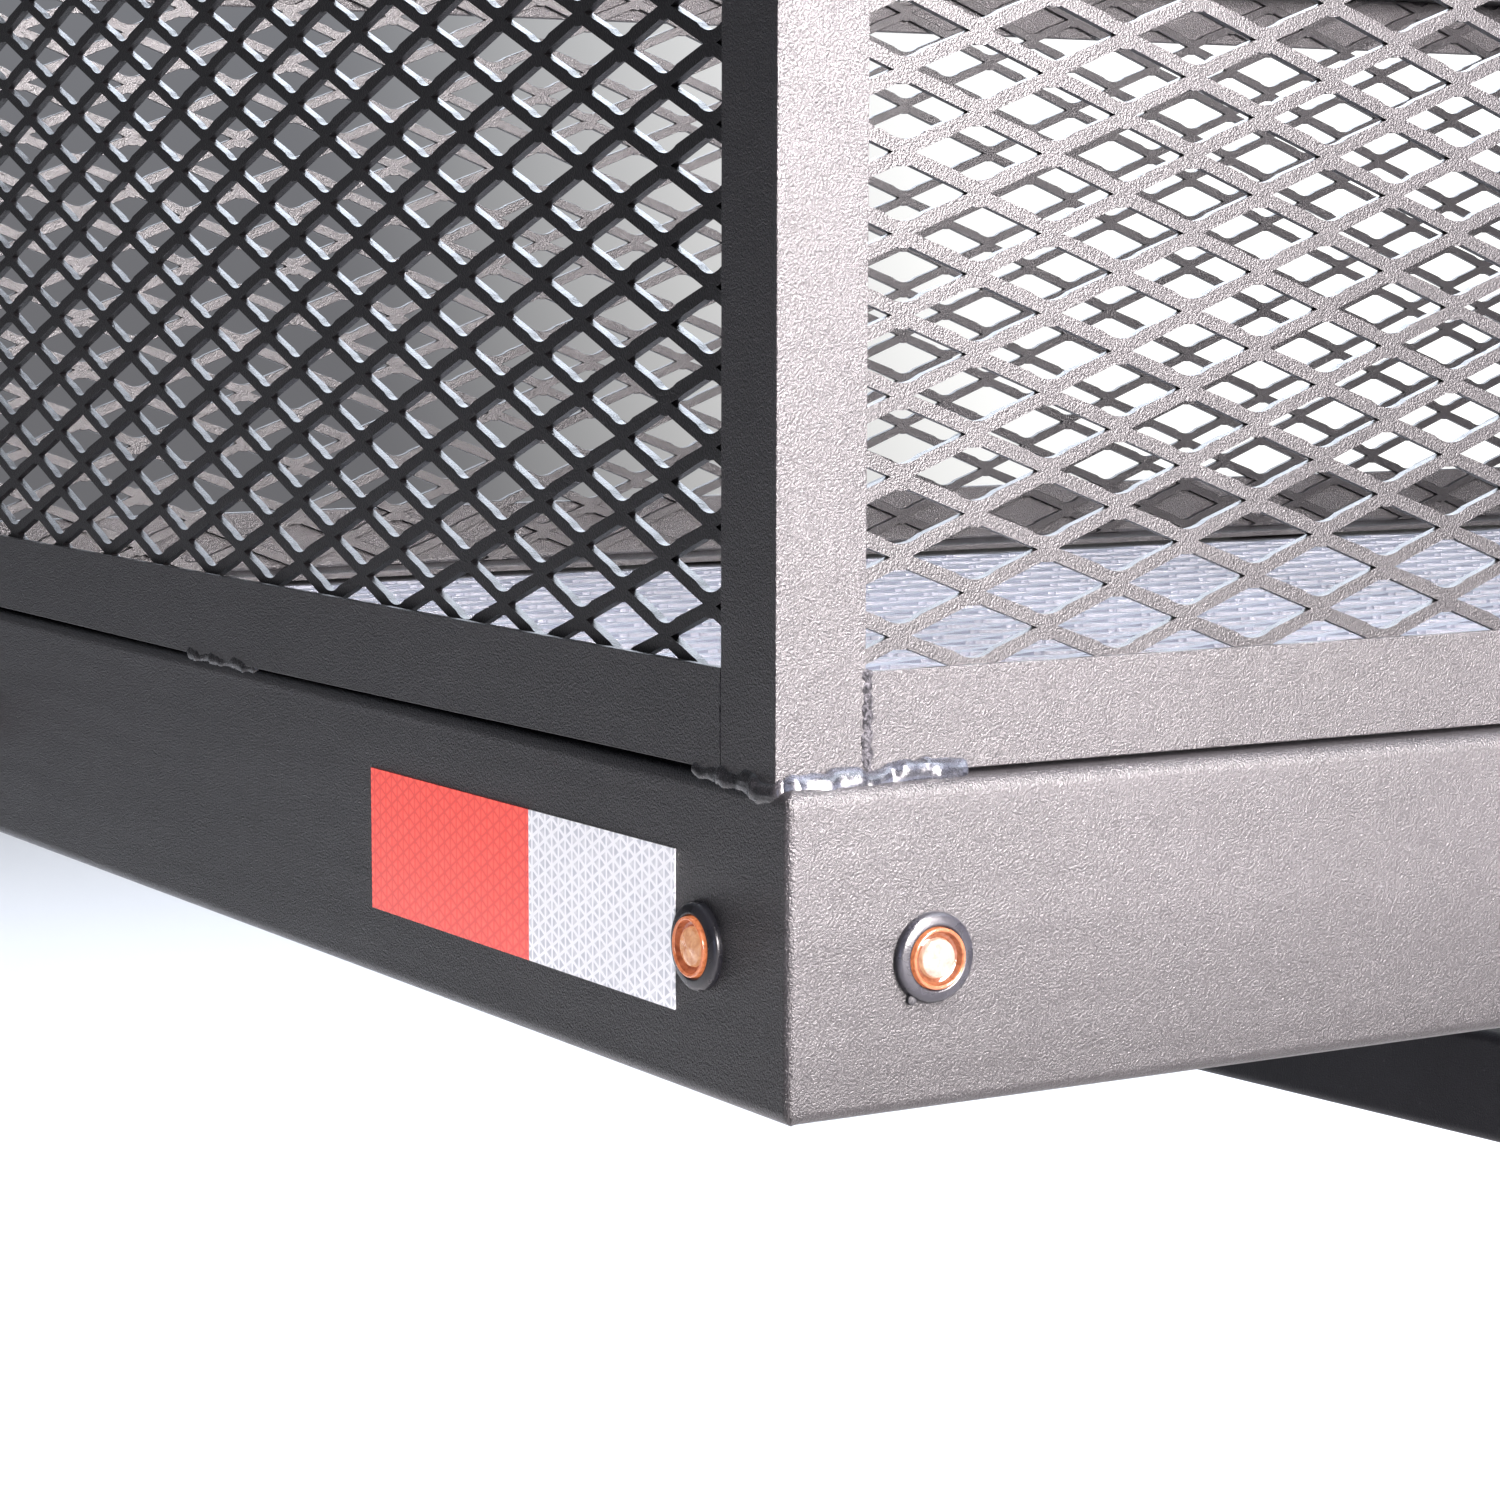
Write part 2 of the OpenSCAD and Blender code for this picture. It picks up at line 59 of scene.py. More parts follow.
X, Y, Z = Vector((1, 0, 0)), Vector((0, 1, 0)), Vector((0, 0, 1))
STILL = Matrix.Identity(4)
SWAP_X_Y = Matrix(((0, 1, 0, 0), (1, 0, 0, 0), (0, 0, 1, 0), (0, 0, 0, 1)))
scene = bpy.context.scene

# ---- where things are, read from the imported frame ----

front_lo, front_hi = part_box("base_rail_front")
post_lo, post_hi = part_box("post_front_left")
lower_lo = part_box("lower_rail_front")[0]
CORNER = Vector((front_lo.x, front_lo.y, front_hi.z))  # outer top corner of the base, front left
BASE_W = front_hi.x - front_lo.x
BASE_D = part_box("base_rail_rear")[1].y - front_lo.y
RAIL_H = front_hi.z - front_lo.z
RAIL_W = front_hi.y - front_lo.y
INSET_X = post_lo.x - CORNER.x
INSET_Y = post_lo.y - CORNER.y
LEG = post_hi.x - post_lo.x
LEG_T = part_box("mesh_left")[0].x - post_lo.x
SLOT = lower_lo.z - CORNER.z
PANEL_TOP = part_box("upper_rail_front")[1].z - CORNER.z
MESH_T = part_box("mesh_front")[1].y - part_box("mesh_front")[0].y

# What is made for the front left corner, seen from CORNER, is mirrored to the other three.
FLIP_X = Matrix.Translation((BASE_W, 0, 0)) @ Matrix.Scale(-1, 4, X)
FLIP_Y = Matrix.Translation((0, BASE_D, 0)) @ Matrix.Scale(-1, 4, Y)
ON_BASE = Matrix.Translation(CORNER)
SIDES = {
    "front_left": STILL,
    "front_right": FLIP_X,
    "rear_left": FLIP_Y,
    "rear_right": FLIP_X @ FLIP_Y,
}


# ---- mesh helpers: shapes are built with CORNER as their origin, then moved by ON_BASE ----


def add_object(name, data):
    """A new object in the scene."""
    obj = bpy.data.objects.new(name, data)
    scene.collection.objects.link(obj)
    return obj


def outward(bm):
    """Turns the faces of a closed solid outward."""
    if bm.calc_volume(signed=True) < 0:
        bmesh.ops.reverse_faces(bm, faces=bm.faces)


def placed(x_axis, y_axis, z_axis, origin):
    """A placement from three axes and an origin."""
    m = Matrix((x_axis, y_axis, z_axis)).transposed().to_4x4()
    m.translation = origin
    return m


def mesh_object(name, bm, place, material, replaced, body="carrier", smooth=35):
    """Turns a bmesh into a piece that stands for CAD nodes and rides on a body. Edges sharper
    than smooth degrees stay sharp."""
    bm.transform(ON_BASE @ place)
    outward(bm)
    mesh = bpy.data.meshes.new(name)
    bm.to_mesh(mesh)
    bm.free()
    for polygon in mesh.polygons:
        polygon.use_smooth = True
    mesh.set_sharp_from_angle(angle=math.radians(smooth))
    obj = add_object(name, mesh)
    for slot in material if isinstance(material, list) else [material]:
        mesh.materials.append(slot)
    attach(obj, body)
    for node in replaced:
        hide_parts(node)
    return obj


def even_normals(obj):
    """Keeps the shading of large flat faces flat beside their small rounded edges."""
    modifier = obj.modifiers.new("even_normals", "WEIGHTED_NORMAL")
    modifier.keep_sharp = True
    modifier.weight = 90


def arc(cx, cy, r, start, end, steps):
    """Points on an arc from start to end degrees."""
    return [
        (
            cx + r * math.cos(math.radians(start + (end - start) * i / steps)),
            cy + r * math.sin(math.radians(start + (end - start) * i / steps)),
        )
        for i in range(steps + 1)
    ]


def extrude(outline, length, steps=1):
    """A closed prism from an outline in X and Y, which runs along +Z."""
    bm = bmesh.new()
    rows = [
        [bm.verts.new((x, y, length * i / steps)) for x, y in outline] for i in range(steps + 1)
    ]
    n = len(outline)
    for low, high in zip(rows, rows[1:]):
        for i in range(n):
            bm.faces.new((low[i], low[(i + 1) % n], high[(i + 1) % n], high[i]))
    bm.faces.new(rows[0][::-1])
    bm.faces.new(rows[-1])
    bmesh.ops.recalc_face_normals(bm, faces=bm.faces)
    return bm


def cut(bm, point, normal):
    """Removes what lies on the normal's side of a plane, and closes the cut."""
    geom = bm.verts[:] + bm.edges[:] + bm.faces[:]
    done = bmesh.ops.bisect_plane(
        bm, geom=geom, plane_co=point, plane_no=normal, clear_outer=True, dist=1e-7
    )
    edges = [e for e in done["geom_cut"] if isinstance(e, bmesh.types.BMEdge)]
    bmesh.ops.holes_fill(bm, edges=edges)


def turned(outline, segments):
    """A solid of revolution about Z from (radius, height) points in millimetres. The outline is
    closed, and a point on the axis is one vertex."""
    bm = bmesh.new()
    turns = [2 * math.pi * k / segments for k in range(segments)]
    rings = []
    for r, z in [(r * MM, z * MM) for r, z in outline]:
        if r < 1e-9:
            rings.append([bm.verts.new((0, 0, z))] * segments)
        else:
            rings.append([bm.verts.new((r * math.cos(a), r * math.sin(a), z)) for a in turns])
    n = len(rings)
    for i in range(n):
        a, b = rings[i], rings[(i + 1) % n]
        for k in range(segments):
            m = (k + 1) % segments
            corners = []
            for v in (a[k], a[m], b[m], b[k]):
                if v not in corners:
                    corners.append(v)
            if len(corners) >= 3:
                bm.faces.new(corners)
    bmesh.ops.recalc_face_normals(bm, faces=bm.faces)
    return bm


def bridge(bm, a, b):
    """Quads between two closed rings of vertices."""
    n = len(a)
    for k in range(n):
        bm.faces.new((a[k], b[k], b[(k + 1) % n], a[(k + 1) % n]))


def join(parts):
    """One bmesh from several, each with its own matrix."""
    whole = bmesh.new()
    for part, matrix in parts:
        part.transform(matrix)
        outward(part)
        mesh = bpy.data.meshes.new("part")
        part.to_mesh(mesh)
        part.free()
        whole.from_mesh(mesh)
        bpy.data.meshes.remove(mesh)
    return whole


# ---- materials ----


class Nodes:
    """A material's node tree, with one short method for each kind of node used here. A value is
    either a number or another node's output."""

    def __init__(self, name):
        self.material = bpy.data.materials.new(name)
        self.material.use_nodes = True
        self.tree = self.material.node_tree
        self.shader = self.tree.nodes["Principled BSDF"]
        self.coords = self.add("ShaderNodeTexCoord").outputs["Object"]

    def add(self, kind, **settings):
        node = self.tree.nodes.new(kind)
        for key, value in settings.items():
            setattr(node, key, value)
        return node

    def put(self, value, socket):
        if isinstance(value, bpy.types.NodeSocket):
            self.tree.links.new(value, socket)
        else:
            socket.default_value = value

    def set(self, **values):
        for key, value in values.items():
            self.put(value, self.shader.inputs[key.replace("_", " ")])

    def math(self, operation, a, b, clamp=False):
        node = self.add("ShaderNodeMath", operation=operation, use_clamp=clamp)
        self.put(a, node.inputs[0])
        self.put(b, node.inputs[1])
        return node.outputs[0]

    def split(self, vector):
        node = self.add("ShaderNodeSeparateXYZ")
        self.put(vector, node.inputs[0])
        return node.outputs

    def stretch(self, x, y, z, rotation=(0, 0, 0)):
        node = self.add("ShaderNodeMapping")
        self.put(self.coords, node.inputs["Vector"])
        node.inputs["Scale"].default_value = (x, y, z)
        node.inputs["Rotation"].default_value = rotation
        return node.outputs[0]

    def noise(self, scale, detail=3.0, roughness=0.5, vector=None, distortion=0.0):
        node = self.add("ShaderNodeTexNoise")
        self.put(vector or self.coords, node.inputs["Vector"])
        node.inputs["Scale"].default_value = scale
        node.inputs["Detail"].default_value = detail
        node.inputs["Roughness"].default_value = roughness
        node.inputs["Distortion"].default_value = distortion
        return node.outputs["Fac"]

    def ramp(self, value, stops):
        node = self.add("ShaderNodeValToRGB")
        elements = node.color_ramp.elements
        while len(elements) < len(stops):
            elements.new(0.5)
        for element, (place, colour) in zip(elements, stops):
            element.position = place
            element.color = (*colour, 1)
        self.put(value, node.inputs["Fac"])
        return node.outputs["Color"]

    def mix(self, factor, a, b):
        node = self.add("ShaderNodeMix", data_type="RGBA")
        self.put(factor, node.inputs["Factor"])
        for value, socket in ((a, node.inputs["A"]), (b, node.inputs["B"])):
            self.put((*value, 1) if isinstance(value, tuple) else value, socket)
        return node.outputs["Result"]

    def range(self, value, low, high, out_low, out_high):
        node = self.add("ShaderNodeMapRange")
        for v, key in (
            (value, "Value"),
            (low, "From Min"),
            (high, "From Max"),
            (out_low, "To Min"),
            (out_high, "To Max"),
        ):
            self.put(v, node.inputs[key])
        return node.outputs["Result"]

    def bump(self, height, distance, below=None, strength=1.0):
        node = self.add("ShaderNodeBump")
        self.put(height, node.inputs["Height"])
        node.inputs["Distance"].default_value = distance
        node.inputs["Strength"].default_value = strength
        if below is not None:
            self.put(below, node.inputs["Normal"])
        return node.outputs["Normal"]


CHARCOAL = (0.012, 0.0111, 0.0121)
DUST = (0.16, 0.16, 0.17)


def scaled(colour, by):
    """A colour made darker or lighter."""
    return tuple(c * by for c in colour)


def powder_coat(name, colour=CHARCOAL, roughness=0.34, peel=0.0006, specular=0.45, tube=False):
    """Satin powder coat: a leathery orange peel, as deep as peel in metres, and faint dust. The
    base tubes also have the long shallow waves that rolling leaves, and painted shade: darker and
    less glossy towards the foot, as if less light reached it."""
    m = Nodes(name)
    leather = m.noise(1350, 2.0, 0.6, m.stretch(1.0, 1.0, 1.0, (0.6, 0.7, 0.5)))
    grain = m.noise(2700, 2.0, 0.5, m.stretch(1.0, 1.0, 1.0, (0.4, 0.9, 0.3)))
    swell = m.noise(16, 2.0, 0.5)
    cloud = m.noise(7, 4.0, 0.6)
    normal = m.bump(swell, 0.0007)
    if tube:
        waves = m.noise(1.0, 2.0, 0.5, m.stretch(2.5, 2.5, 38))
        normal = m.bump(waves, 0.0012, normal)
    normal = m.bump(leather, peel, normal)
    normal = m.bump(grain, peel * 0.3, normal)
    tone = m.mix(m.range(cloud, 0.35, 0.65, 0, 1), scaled(colour, 0.84), scaled(colour, 1.18))
    sheen = specular
    # Painted shade: the tube coat turns darker and less glossy towards the foot, for light that
    # falls off from above.
    if tube:
        height = m.split(m.add("ShaderNodeNewGeometry").outputs["Position"])["Z"]
        full = m.range(height, CORNER.z - RAIL_H, CORNER.z - RAIL_H * 0.3, 0, 1)
        tone = m.mix(full, scaled(colour, 0.62), tone)
        sheen = m.range(full, 0, 1, specular * 0.72, specular)
    specks = m.range(m.noise(420, 1.0), 0.755, 0.78, 0, 0.13)
    m.set(
        Base_Color=m.mix(specks, tone, DUST),
        Roughness=m.range(leather, 0.3, 0.7, roughness - 0.05, roughness + 0.07),
        Normal=normal,
        Specular_IOR_Level=sheen,
    )
    return m.material


def weld_paint(name, low, high):
    """Glossy paint on a weld bead, in level streaks from low to high."""
    m = Nodes(name)
    fine = m.noise(1300, 2.0, 0.5)
    streaks = m.noise(1.0, 2.0, 0.5, m.stretch(45, 45, 280), 0.5)
    m.set(
        Base_Color=m.ramp(streaks, [(0.38, low), (0.62, high)]),
        Roughness=m.range(fine, 0.3, 0.7, 0.2, 0.32),
        Normal=m.bump(fine, 0.00003, m.bump(streaks, 0.0003)),
        Specular_IOR_Level=0.5,
    )
    return m.material


def seam_paint():
    """Paint in a rough weld seam: dark, pitted and uneven."""
    m = Nodes("seam_paint")
    pits = m.noise(620, 3.0, 0.65, None, 0.6)
    m.set(
        Base_Color=m.ramp(pits, [(0.42, (0.004, 0.004, 0.005)), (0.62, (0.035, 0.034, 0.038))]),
        Roughness=0.5,
        Normal=m.bump(pits, 0.001),
        Specular_IOR_Level=0.09,
    )
    return m.material


def rubber_skin():
    """Moulded rubber with a cool sheen."""
    m = Nodes("grommet_rubber")
    flow = m.noise(120, 2.0)
    thick = m.range(flow, 0.3, 0.7, 0, 1)
    m.set(
        Base_Color=m.mix(thick, (0.006, 0.006, 0.008), (0.013, 0.013, 0.016)),
        Roughness=m.range(flow, 0.3, 0.7, 0.22, 0.33),
        Normal=m.bump(m.noise(1500, 2.0), 0.00006),
        Specular_IOR_Level=0.35,
    )
    return m.material


def lens_plastic(name, body, dim, lit):
    """Coloured lens over a bright reflector, with a glossy skin. Its colour comes mostly from a
    painted glow: emission in fine moulded swirls, for the light the reflector sends back."""
    m = Nodes(name)
    swirl = m.noise(380, 2.0, 0.5, None, 0.8)
    depth = m.math("ADD", swirl, m.math("MULTIPLY", m.noise(900, 2.0, 0.5), 0.4))
    m.set(
        Base_Color=m.mix(swirl, body, scaled(body, 1.4)),
        Roughness=m.range(swirl, 0.3, 0.7, 0.05, 0.12),
        Normal=m.bump(swirl, 0.00025),
        IOR=1.49,
        Specular_IOR_Level=0.3,
        Coat_Weight=0.3,
        Coat_Roughness=0.03,
        # Painted glow: emission between dim and lit, standing in for light sent back by the
        # reflector.
        Emission_Color=m.mix(m.range(depth, 0.5, 0.9, 0, 1), dim, lit),
        Emission_Strength=1.0,
    )
    return m.material


def triangles(m, pitch):
    """Distance to the nearest line of a triangular grid on the side of the base, 0 on a line."""
    place = m.split(m.coords)
    lines = []
    for angle in (0, 60, 120):
        along = m.math("MULTIPLY", place["Y"], math.cos(math.radians(angle)) / pitch)
        up = m.math("MULTIPLY", place["Z"], math.sin(math.radians(angle)) / pitch)
        lines.append(m.math("PINGPONG", m.math("ADD", along, up), 0.5))
    return m.math("MINIMUM", m.math("MINIMUM", lines[0], lines[1]), lines[2])


TAPE_PITCH = 4.6 * MM  # between the lines of the lattice


def prismatic(name, film, line, shade, contrast, lit):
    """Prismatic reflective film: a lattice of small triangles under a glossy face. It also glows
    by lit, a painted light that stands in for what its prisms send back."""
    m = Nodes(name)
    edge = triangles(m, TAPE_PITCH)
    cells = m.add("ShaderNodeTexVoronoi")
    m.put(m.coords, cells.inputs["Vector"])
    cells.inputs["Scale"].default_value = 330
    flicker = m.math("MULTIPLY", cells.outputs["Distance"], contrast)
    facet = m.range(edge, 0.07, 0.16, 0, 1)
    tone = m.mix(facet, line, m.mix(m.math("MULTIPLY", flicker, 1.4, clamp=True), film, shade))
    m.set(
        Base_Color=tone,
        Roughness=0.28,
        Normal=m.bump(edge, 0.0002, strength=0.35),
        Coat_Weight=0.7,
        Coat_Roughness=0.06,
        # Painted glow: the film's tone as emission, for the light its prisms send back.
        Emission_Color=tone,
        Emission_Strength=lit,
    )
    return m.material


def zinc_plate():
    """Bright, brushed zinc plating on the loose hardware."""
    m = Nodes("bright_zinc")
    brush = m.noise(260, 3.0, 0.6, m.stretch(1, 6, 6))
    cloud = m.noise(60, 3.0)
    m.set(
        Base_Color=m.mix(m.range(cloud, 0.3, 0.7, 0, 1), (0.46, 0.47, 0.5), (0.62, 0.63, 0.65)),
        Metallic=1.0,
        Roughness=m.range(brush, 0.3, 0.7, 0.22, 0.42),
        Normal=m.bump(brush, 0.00006),
    )
    return m.material


def moulded_plastic(name, low, high, roughness):
    """Matt plastic with a cloudy tone between low and high."""
    m = Nodes(name)
    cloud = m.noise(90, 3.0)
    m.set(
        Base_Color=m.mix(m.range(cloud, 0.3, 0.7, 0, 1), low, high),
        Roughness=m.range(cloud, 0.3, 0.7, roughness, roughness + 0.1),
        Normal=m.bump(m.noise(1400, 2.0), 0.00006),
        Specular_IOR_Level=0.15,
    )
    return m.material


COAT = powder_coat("charcoal_powder_coat")
# Coat of the base tubes, with painted shade towards the foot.
TUBE_COAT_SHADED_FOOT = powder_coat("tube_powder_coat_shaded_foot", tube=True)
MESH_COAT = powder_coat("mesh_powder_coat", (0.006, 0.0055, 0.0062), 0.33, 0.0003, 0.36)
# Painted light: the floor sheets' coat is lighter and bluer than the charcoal, for the sky light on
# their upward faces.
FLOOR_COAT_SKYLIT = powder_coat("floor_powder_coat_painted_skylight", (0.055, 0.062, 0.082), 0.5, 0.0003, 0.8)
BEAM_COAT = powder_coat("beam_powder_coat", (0.008, 0.008, 0.0095), 0.42, 0.0004, 0.08)
# Lit copy of the weld paint, for the front and rear welds: streaks of random tone whose light
# bluish high is a painted sky reflection.
WELD_PAINT_LIT = weld_paint("weld_paint_lit_reflection", (0.007, 0.0075, 0.010), (0.030, 0.033, 0.043))
# Shaded copy of the same weld paint, for welds on the sides and under the corners: darker as
# painted shade.
WELD_PAINT_SHADED = weld_paint("weld_paint_shaded", (0.007, 0.007, 0.008), (0.020, 0.019, 0.021))
SEAM = seam_paint()
RUBBER = rubber_skin()
# The rim, the moat and the boss of a lens, in the order of their material slots. Each has its body
# colour, then its painted glow, dim and lit.
AMBER = [
    lens_plastic("amber_lens_rim", (0.05, 0.02, 0.01), (0.42, 0.10, 0.035), (0.70, 0.22, 0.09)),
    lens_plastic("amber_lens_moat", (0.03, 0.012, 0.006), (0.20, 0.04, 0.015), (0.42, 0.11, 0.05)),
    lens_plastic("amber_lens_boss", (0.045, 0.045, 0.045), (0.52, 0.20, 0.085), (0.74, 0.38, 0.19)),
]
RED = [
    lens_plastic("red_lens_rim", (0.04, 0.008, 0.008), (0.16, 0.008, 0.006), (0.28, 0.015, 0.01)),
    lens_plastic("red_lens_moat", (0.02, 0.006, 0.006), (0.08, 0.004, 0.003), (0.16, 0.008, 0.006)),
    lens_plastic("red_lens_boss", (0.05, 0.02, 0.02), (0.28, 0.012, 0.01), (0.48, 0.04, 0.03)),
]
TAPE_WHITE = prismatic(
    "white_prismatic_film", (0.78, 0.78, 0.78), (0.97, 0.97, 0.97), (0.56, 0.57, 0.60), 1.0, 0.15
)
TAPE_RED = prismatic(
    "red_prismatic_film", (0.93, 0.10, 0.06), (0.66, 0.045, 0.03), (0.84, 0.065, 0.04), 0.6, 0.42
)
ZINC = zinc_plate()
PLUG = moulded_plastic("black_plug_plastic", (0.012, 0.012, 0.013), (0.02, 0.02, 0.022), 0.5)
BOARD = moulded_plastic("led_board_white", (0.7, 0.68, 0.55), (0.85, 0.8, 0.6), 0.5)


# ---- base rails: swept tube with a rounded weld-ground corner where two rails meet ----

EDGE_R = 5 * MM  # rounding along the tube
GROUND_R = 3.2 * MM  # rounding of the ground weld at the upright corner
TUBE_WALL = 3.05 * MM
FACE_LEAN = 1.2 * MM  # how far the foot of the front and rear faces was drawn in by the welds
LEAN_FROM = 0.3  # part of the height, from the top, where the lean begins


def tube_profile(inner, lean):
    """Outline of the tube as (distance behind the outer face, distance below the top)."""
    t = TUBE_WALL if inner else 0.0
    r = EDGE_R - t
    w, h = RAIL_W - t, RAIL_H - t
    low = t + lean
    face = []
    for f in (0.9, 0.8, 0.7, 0.6, 0.5, 0.4, 0.3):
        inward = lean * max(0.0, (f - LEAN_FROM) / 0.7) ** 2
        face.append((t + inward, t + r + (h - t - 2 * r) * f))
    return (
        arc(t + r, t + r, r, 180, 270, 8)
        + arc(w - r, t + r, r, 270, 360, 8)
        + arc(w - r, h - r, r, 0, 90, 8)
        + arc(low + r, h - r, r, 90, 180, 8)
        + face
    )


def base_rail(length, lean=0.0):
    """A rail along +X with its outer face on y = 0, top on z = 0, and mitred, rounded ends."""
    corner = [math.radians(45 + 45 * i / 4) for i in range(5)]
    stations = [("left", angle) for angle in corner]
    stations += [("mid", f) for f in (0.02, 0.2, 0.4, 0.6, 0.8, 0.98)]
    stations += [("right", angle) for angle in reversed(corner)]
    bm = bmesh.new()
    loops = []
    for inner in (False, True):
        profile = tube_profile(inner, lean)
        rows = []
        for side, value in stations:
            row = []
            for u, drop in profile:
                if side == "mid":
                    x, y = GROUND_R + (length - 2 * GROUND_R) * value, u
                elif u >= GROUND_R:
                    x, y = u, u
                else:
                    x = GROUND_R - (GROUND_R - u) * math.cos(value)
                    y = GROUND_R - (GROUND_R - u) * math.sin(value)
                if side == "right":
                    x = length - x
                row.append(bm.verts.new((x, y, -drop)))
            rows.append(row)
        for a, b in zip(rows, rows[1:]):
            bridge(bm, a, b)
        loops.append(rows)
    n = len(profile)
    for end in (0, -1):
        outer, inner = loops[0][end], loops[1][end]
        for k in range(n):
            m = (k + 1) % n
            bm.faces.new((outer[k], outer[m], inner[m], inner[k]))
    bmesh.ops.remove_doubles(bm, verts=bm.verts, dist=2e-6)
    bmesh.ops.recalc_face_normals(bm, faces=bm.faces)
    return bm


LAMP_HOLE_R = 12.6 * MM
LAMP_IN = 51.5 * MM  # from the corner of the base to the middle of a lamp
LAMP_DROP = 53.8 * MM  # from the top of the base down to it


def drill(obj, points, axis):
    """Cuts the lamp holes through the outer wall of a finished rail."""
    turn = Z.rotation_difference(axis).to_matrix().to_4x4()
    bm = bmesh.new()
    for point in points:
        bmesh.ops.create_cone(
            bm,
            cap_ends=True,
            segments=40,
            radius1=LAMP_HOLE_R,
            radius2=LAMP_HOLE_R,
            depth=16 * MM,
            matrix=Matrix.Translation(point) @ turn,
        )
    mesh = bpy.data.meshes.new("cutter")
    bm.to_mesh(mesh)
    bm.free()
    cutter = add_object("cutter", mesh)
    modifier = obj.modifiers.new("lamp_holes", "BOOLEAN")
    modifier.object = cutter
    modifier.operation = "DIFFERENCE"
    bpy.context.view_layer.update()
    graph = bpy.context.evaluated_depsgraph_get()
    drilled = bpy.data.meshes.new_from_object(obj.evaluated_get(graph), depsgraph=graph)
    obj.modifiers.clear()
    obj.data = drilled
    bpy.data.objects.remove(cutter)


RAILS = {
    "base_rail_front": (STILL, BASE_W, Y, FACE_LEAN),
    "base_rail_rear": (FLIP_Y, BASE_W, Y, FACE_LEAN),
    "base_rail_right": (FLIP_X @ SWAP_X_Y, BASE_D, X, 0.0),
}
for rail, (place, length, axis, lean) in RAILS.items():
    piece = mesh_object(rail + "_tube", base_rail(length, lean), place, TUBE_COAT_SHADED_FOOT, [rail])
    even_normals(piece)
    lamps = [
        ON_BASE @ place @ Vector((x, 0, -LAMP_DROP)) for x in (LAMP_IN, length - LAMP_IN)
    ]
    drill(piece, lamps, axis)

# The left rail is the drilled right rail the other way round.
mirrored = bmesh.new()
mirrored.from_mesh(piece.data)
mirrored.transform(FLIP_X @ ON_BASE.inverted())
even_normals(mesh_object("base_rail_left_tube", mirrored, STILL, TUBE_COAT_SHADED_FOOT, ["base_rail_left"]))


# ---- angle iron: sharp heel, rounded toes and a fillet between the legs ----

TOE_R = 1.1 * MM  # inner edge of a toe
TIP_R = 0.3 * MM  # outer edge of a toe
FILLET_R = 2.6 * MM
HEEL_R = 0.5 * MM
SAG = 1.25 * MM  # of the heel of a lower side rail
SAG_REACH = 0.34  # metres from a welded end to where the sag is full


def angle_outline():
    """Section of the angle iron, heel at the origin and a leg along each axis."""
    t = LEG_T
    return (
        arc(HEEL_R, HEEL_R, HEEL_R, 180, 270, 3)
        + arc(LEG - TIP_R, TIP_R, TIP_R, -90, 0, 2)
        + arc(LEG - TOE_R, t - TOE_R, TOE_R, 0, 90, 4)
        + arc(t + FILLET_R, t + FILLET_R, FILLET_R, -90, -180, 5)
        + arc(t - TOE_R, LEG - TOE_R, TOE_R, 0, 90, 4)
        + arc(TIP_R, LEG - TIP_R, TIP_R, 90, 180, 2)
    )


def sag(bm, length):
    """Lets the heel of a long rail sink towards the base away from its welded ends."""
    for v in bm.verts:
        f = min(max(min(v.co.z, length - v.co.z) / SAG_REACH, 0.0), 1.0)
        v.co.x -= SAG * f * f * (3 - 2 * f) * max(0.0, 1 - v.co.x / LEG)


def angle_bar(name, length, place, mitre=False, sagging=False):
    """Angle iron whose heel runs along the local +Z from the origin."""
    bm = extrude(angle_outline(), length, 40 if sagging else 1)
    if sagging:
        sag(bm, length)
    if mitre:
        cut(bm, (0, 0, 0), (1, 0, -1))
        cut(bm, (0, 0, length), (1, 0, 1))
    even_normals(mesh_object(name + "_angle", bm, place, COAT, [name]))


post_place = Matrix.Translation((INSET_X, INSET_Y, 0))
post_length = post_hi.z - post_lo.z
for name, side in SIDES.items():
    angle_bar("post_" + name, post_length, side @ post_place)

rail_x0 = lower_lo.x - CORNER.x
rail_y0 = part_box("lower_rail_left")[0].y - CORNER.y
lower_front = placed(Z, Y, X, Vector((rail_x0, INSET_Y, SLOT)))
lower_left = placed(Z, X, Y, Vector((INSET_X, rail_y0, SLOT)))
angle_bar("lower_rail_front", BASE_W - 2 * rail_x0, lower_front)
angle_bar("lower_rail_rear", BASE_W - 2 * rail_x0, FLIP_Y @ lower_front)
angle_bar("lower_rail_left", BASE_D - 2 * rail_y0, lower_left, sagging=True)
angle_bar("lower_rail_right", BASE_D - 2 * rail_y0, FLIP_X @ lower_left, sagging=True)

upper_front = placed(Y, -Z, X, Vector((INSET_X, INSET_Y, PANEL_TOP)))
upper_left = placed(X, -Z, Y, Vector((INSET_X, INSET_Y, PANEL_TOP)))
angle_bar("upper_rail_front", BASE_W - 2 * INSET_X, upper_front, mitre=True)
angle_bar("upper_rail_rear", BASE_W - 2 * INSET_X, FLIP_Y @ upper_front, mitre=True)
angle_bar("upper_rail_left", BASE_D - 2 * INSET_Y, upper_left, mitre=True)
angle_bar("upper_rail_right", BASE_D - 2 * INSET_Y, FLIP_X @ upper_left, mitre=True)


# ---- expanded metal ----

LWD = 54.4 * MM  # pitch the long way
SWD = 24.08 * MM  # pitch the short way
OPEN_A = 23.35 * MM  # half an opening's length
OPEN_B = 8.15 * MM  # half its height
FLAT = 2.3 * MM  # half the flat in the middle of its upper edge
EAR = 0.35 * MM  # rise at the ends of that flat
STRAND_BEVEL = 0.28 * MM


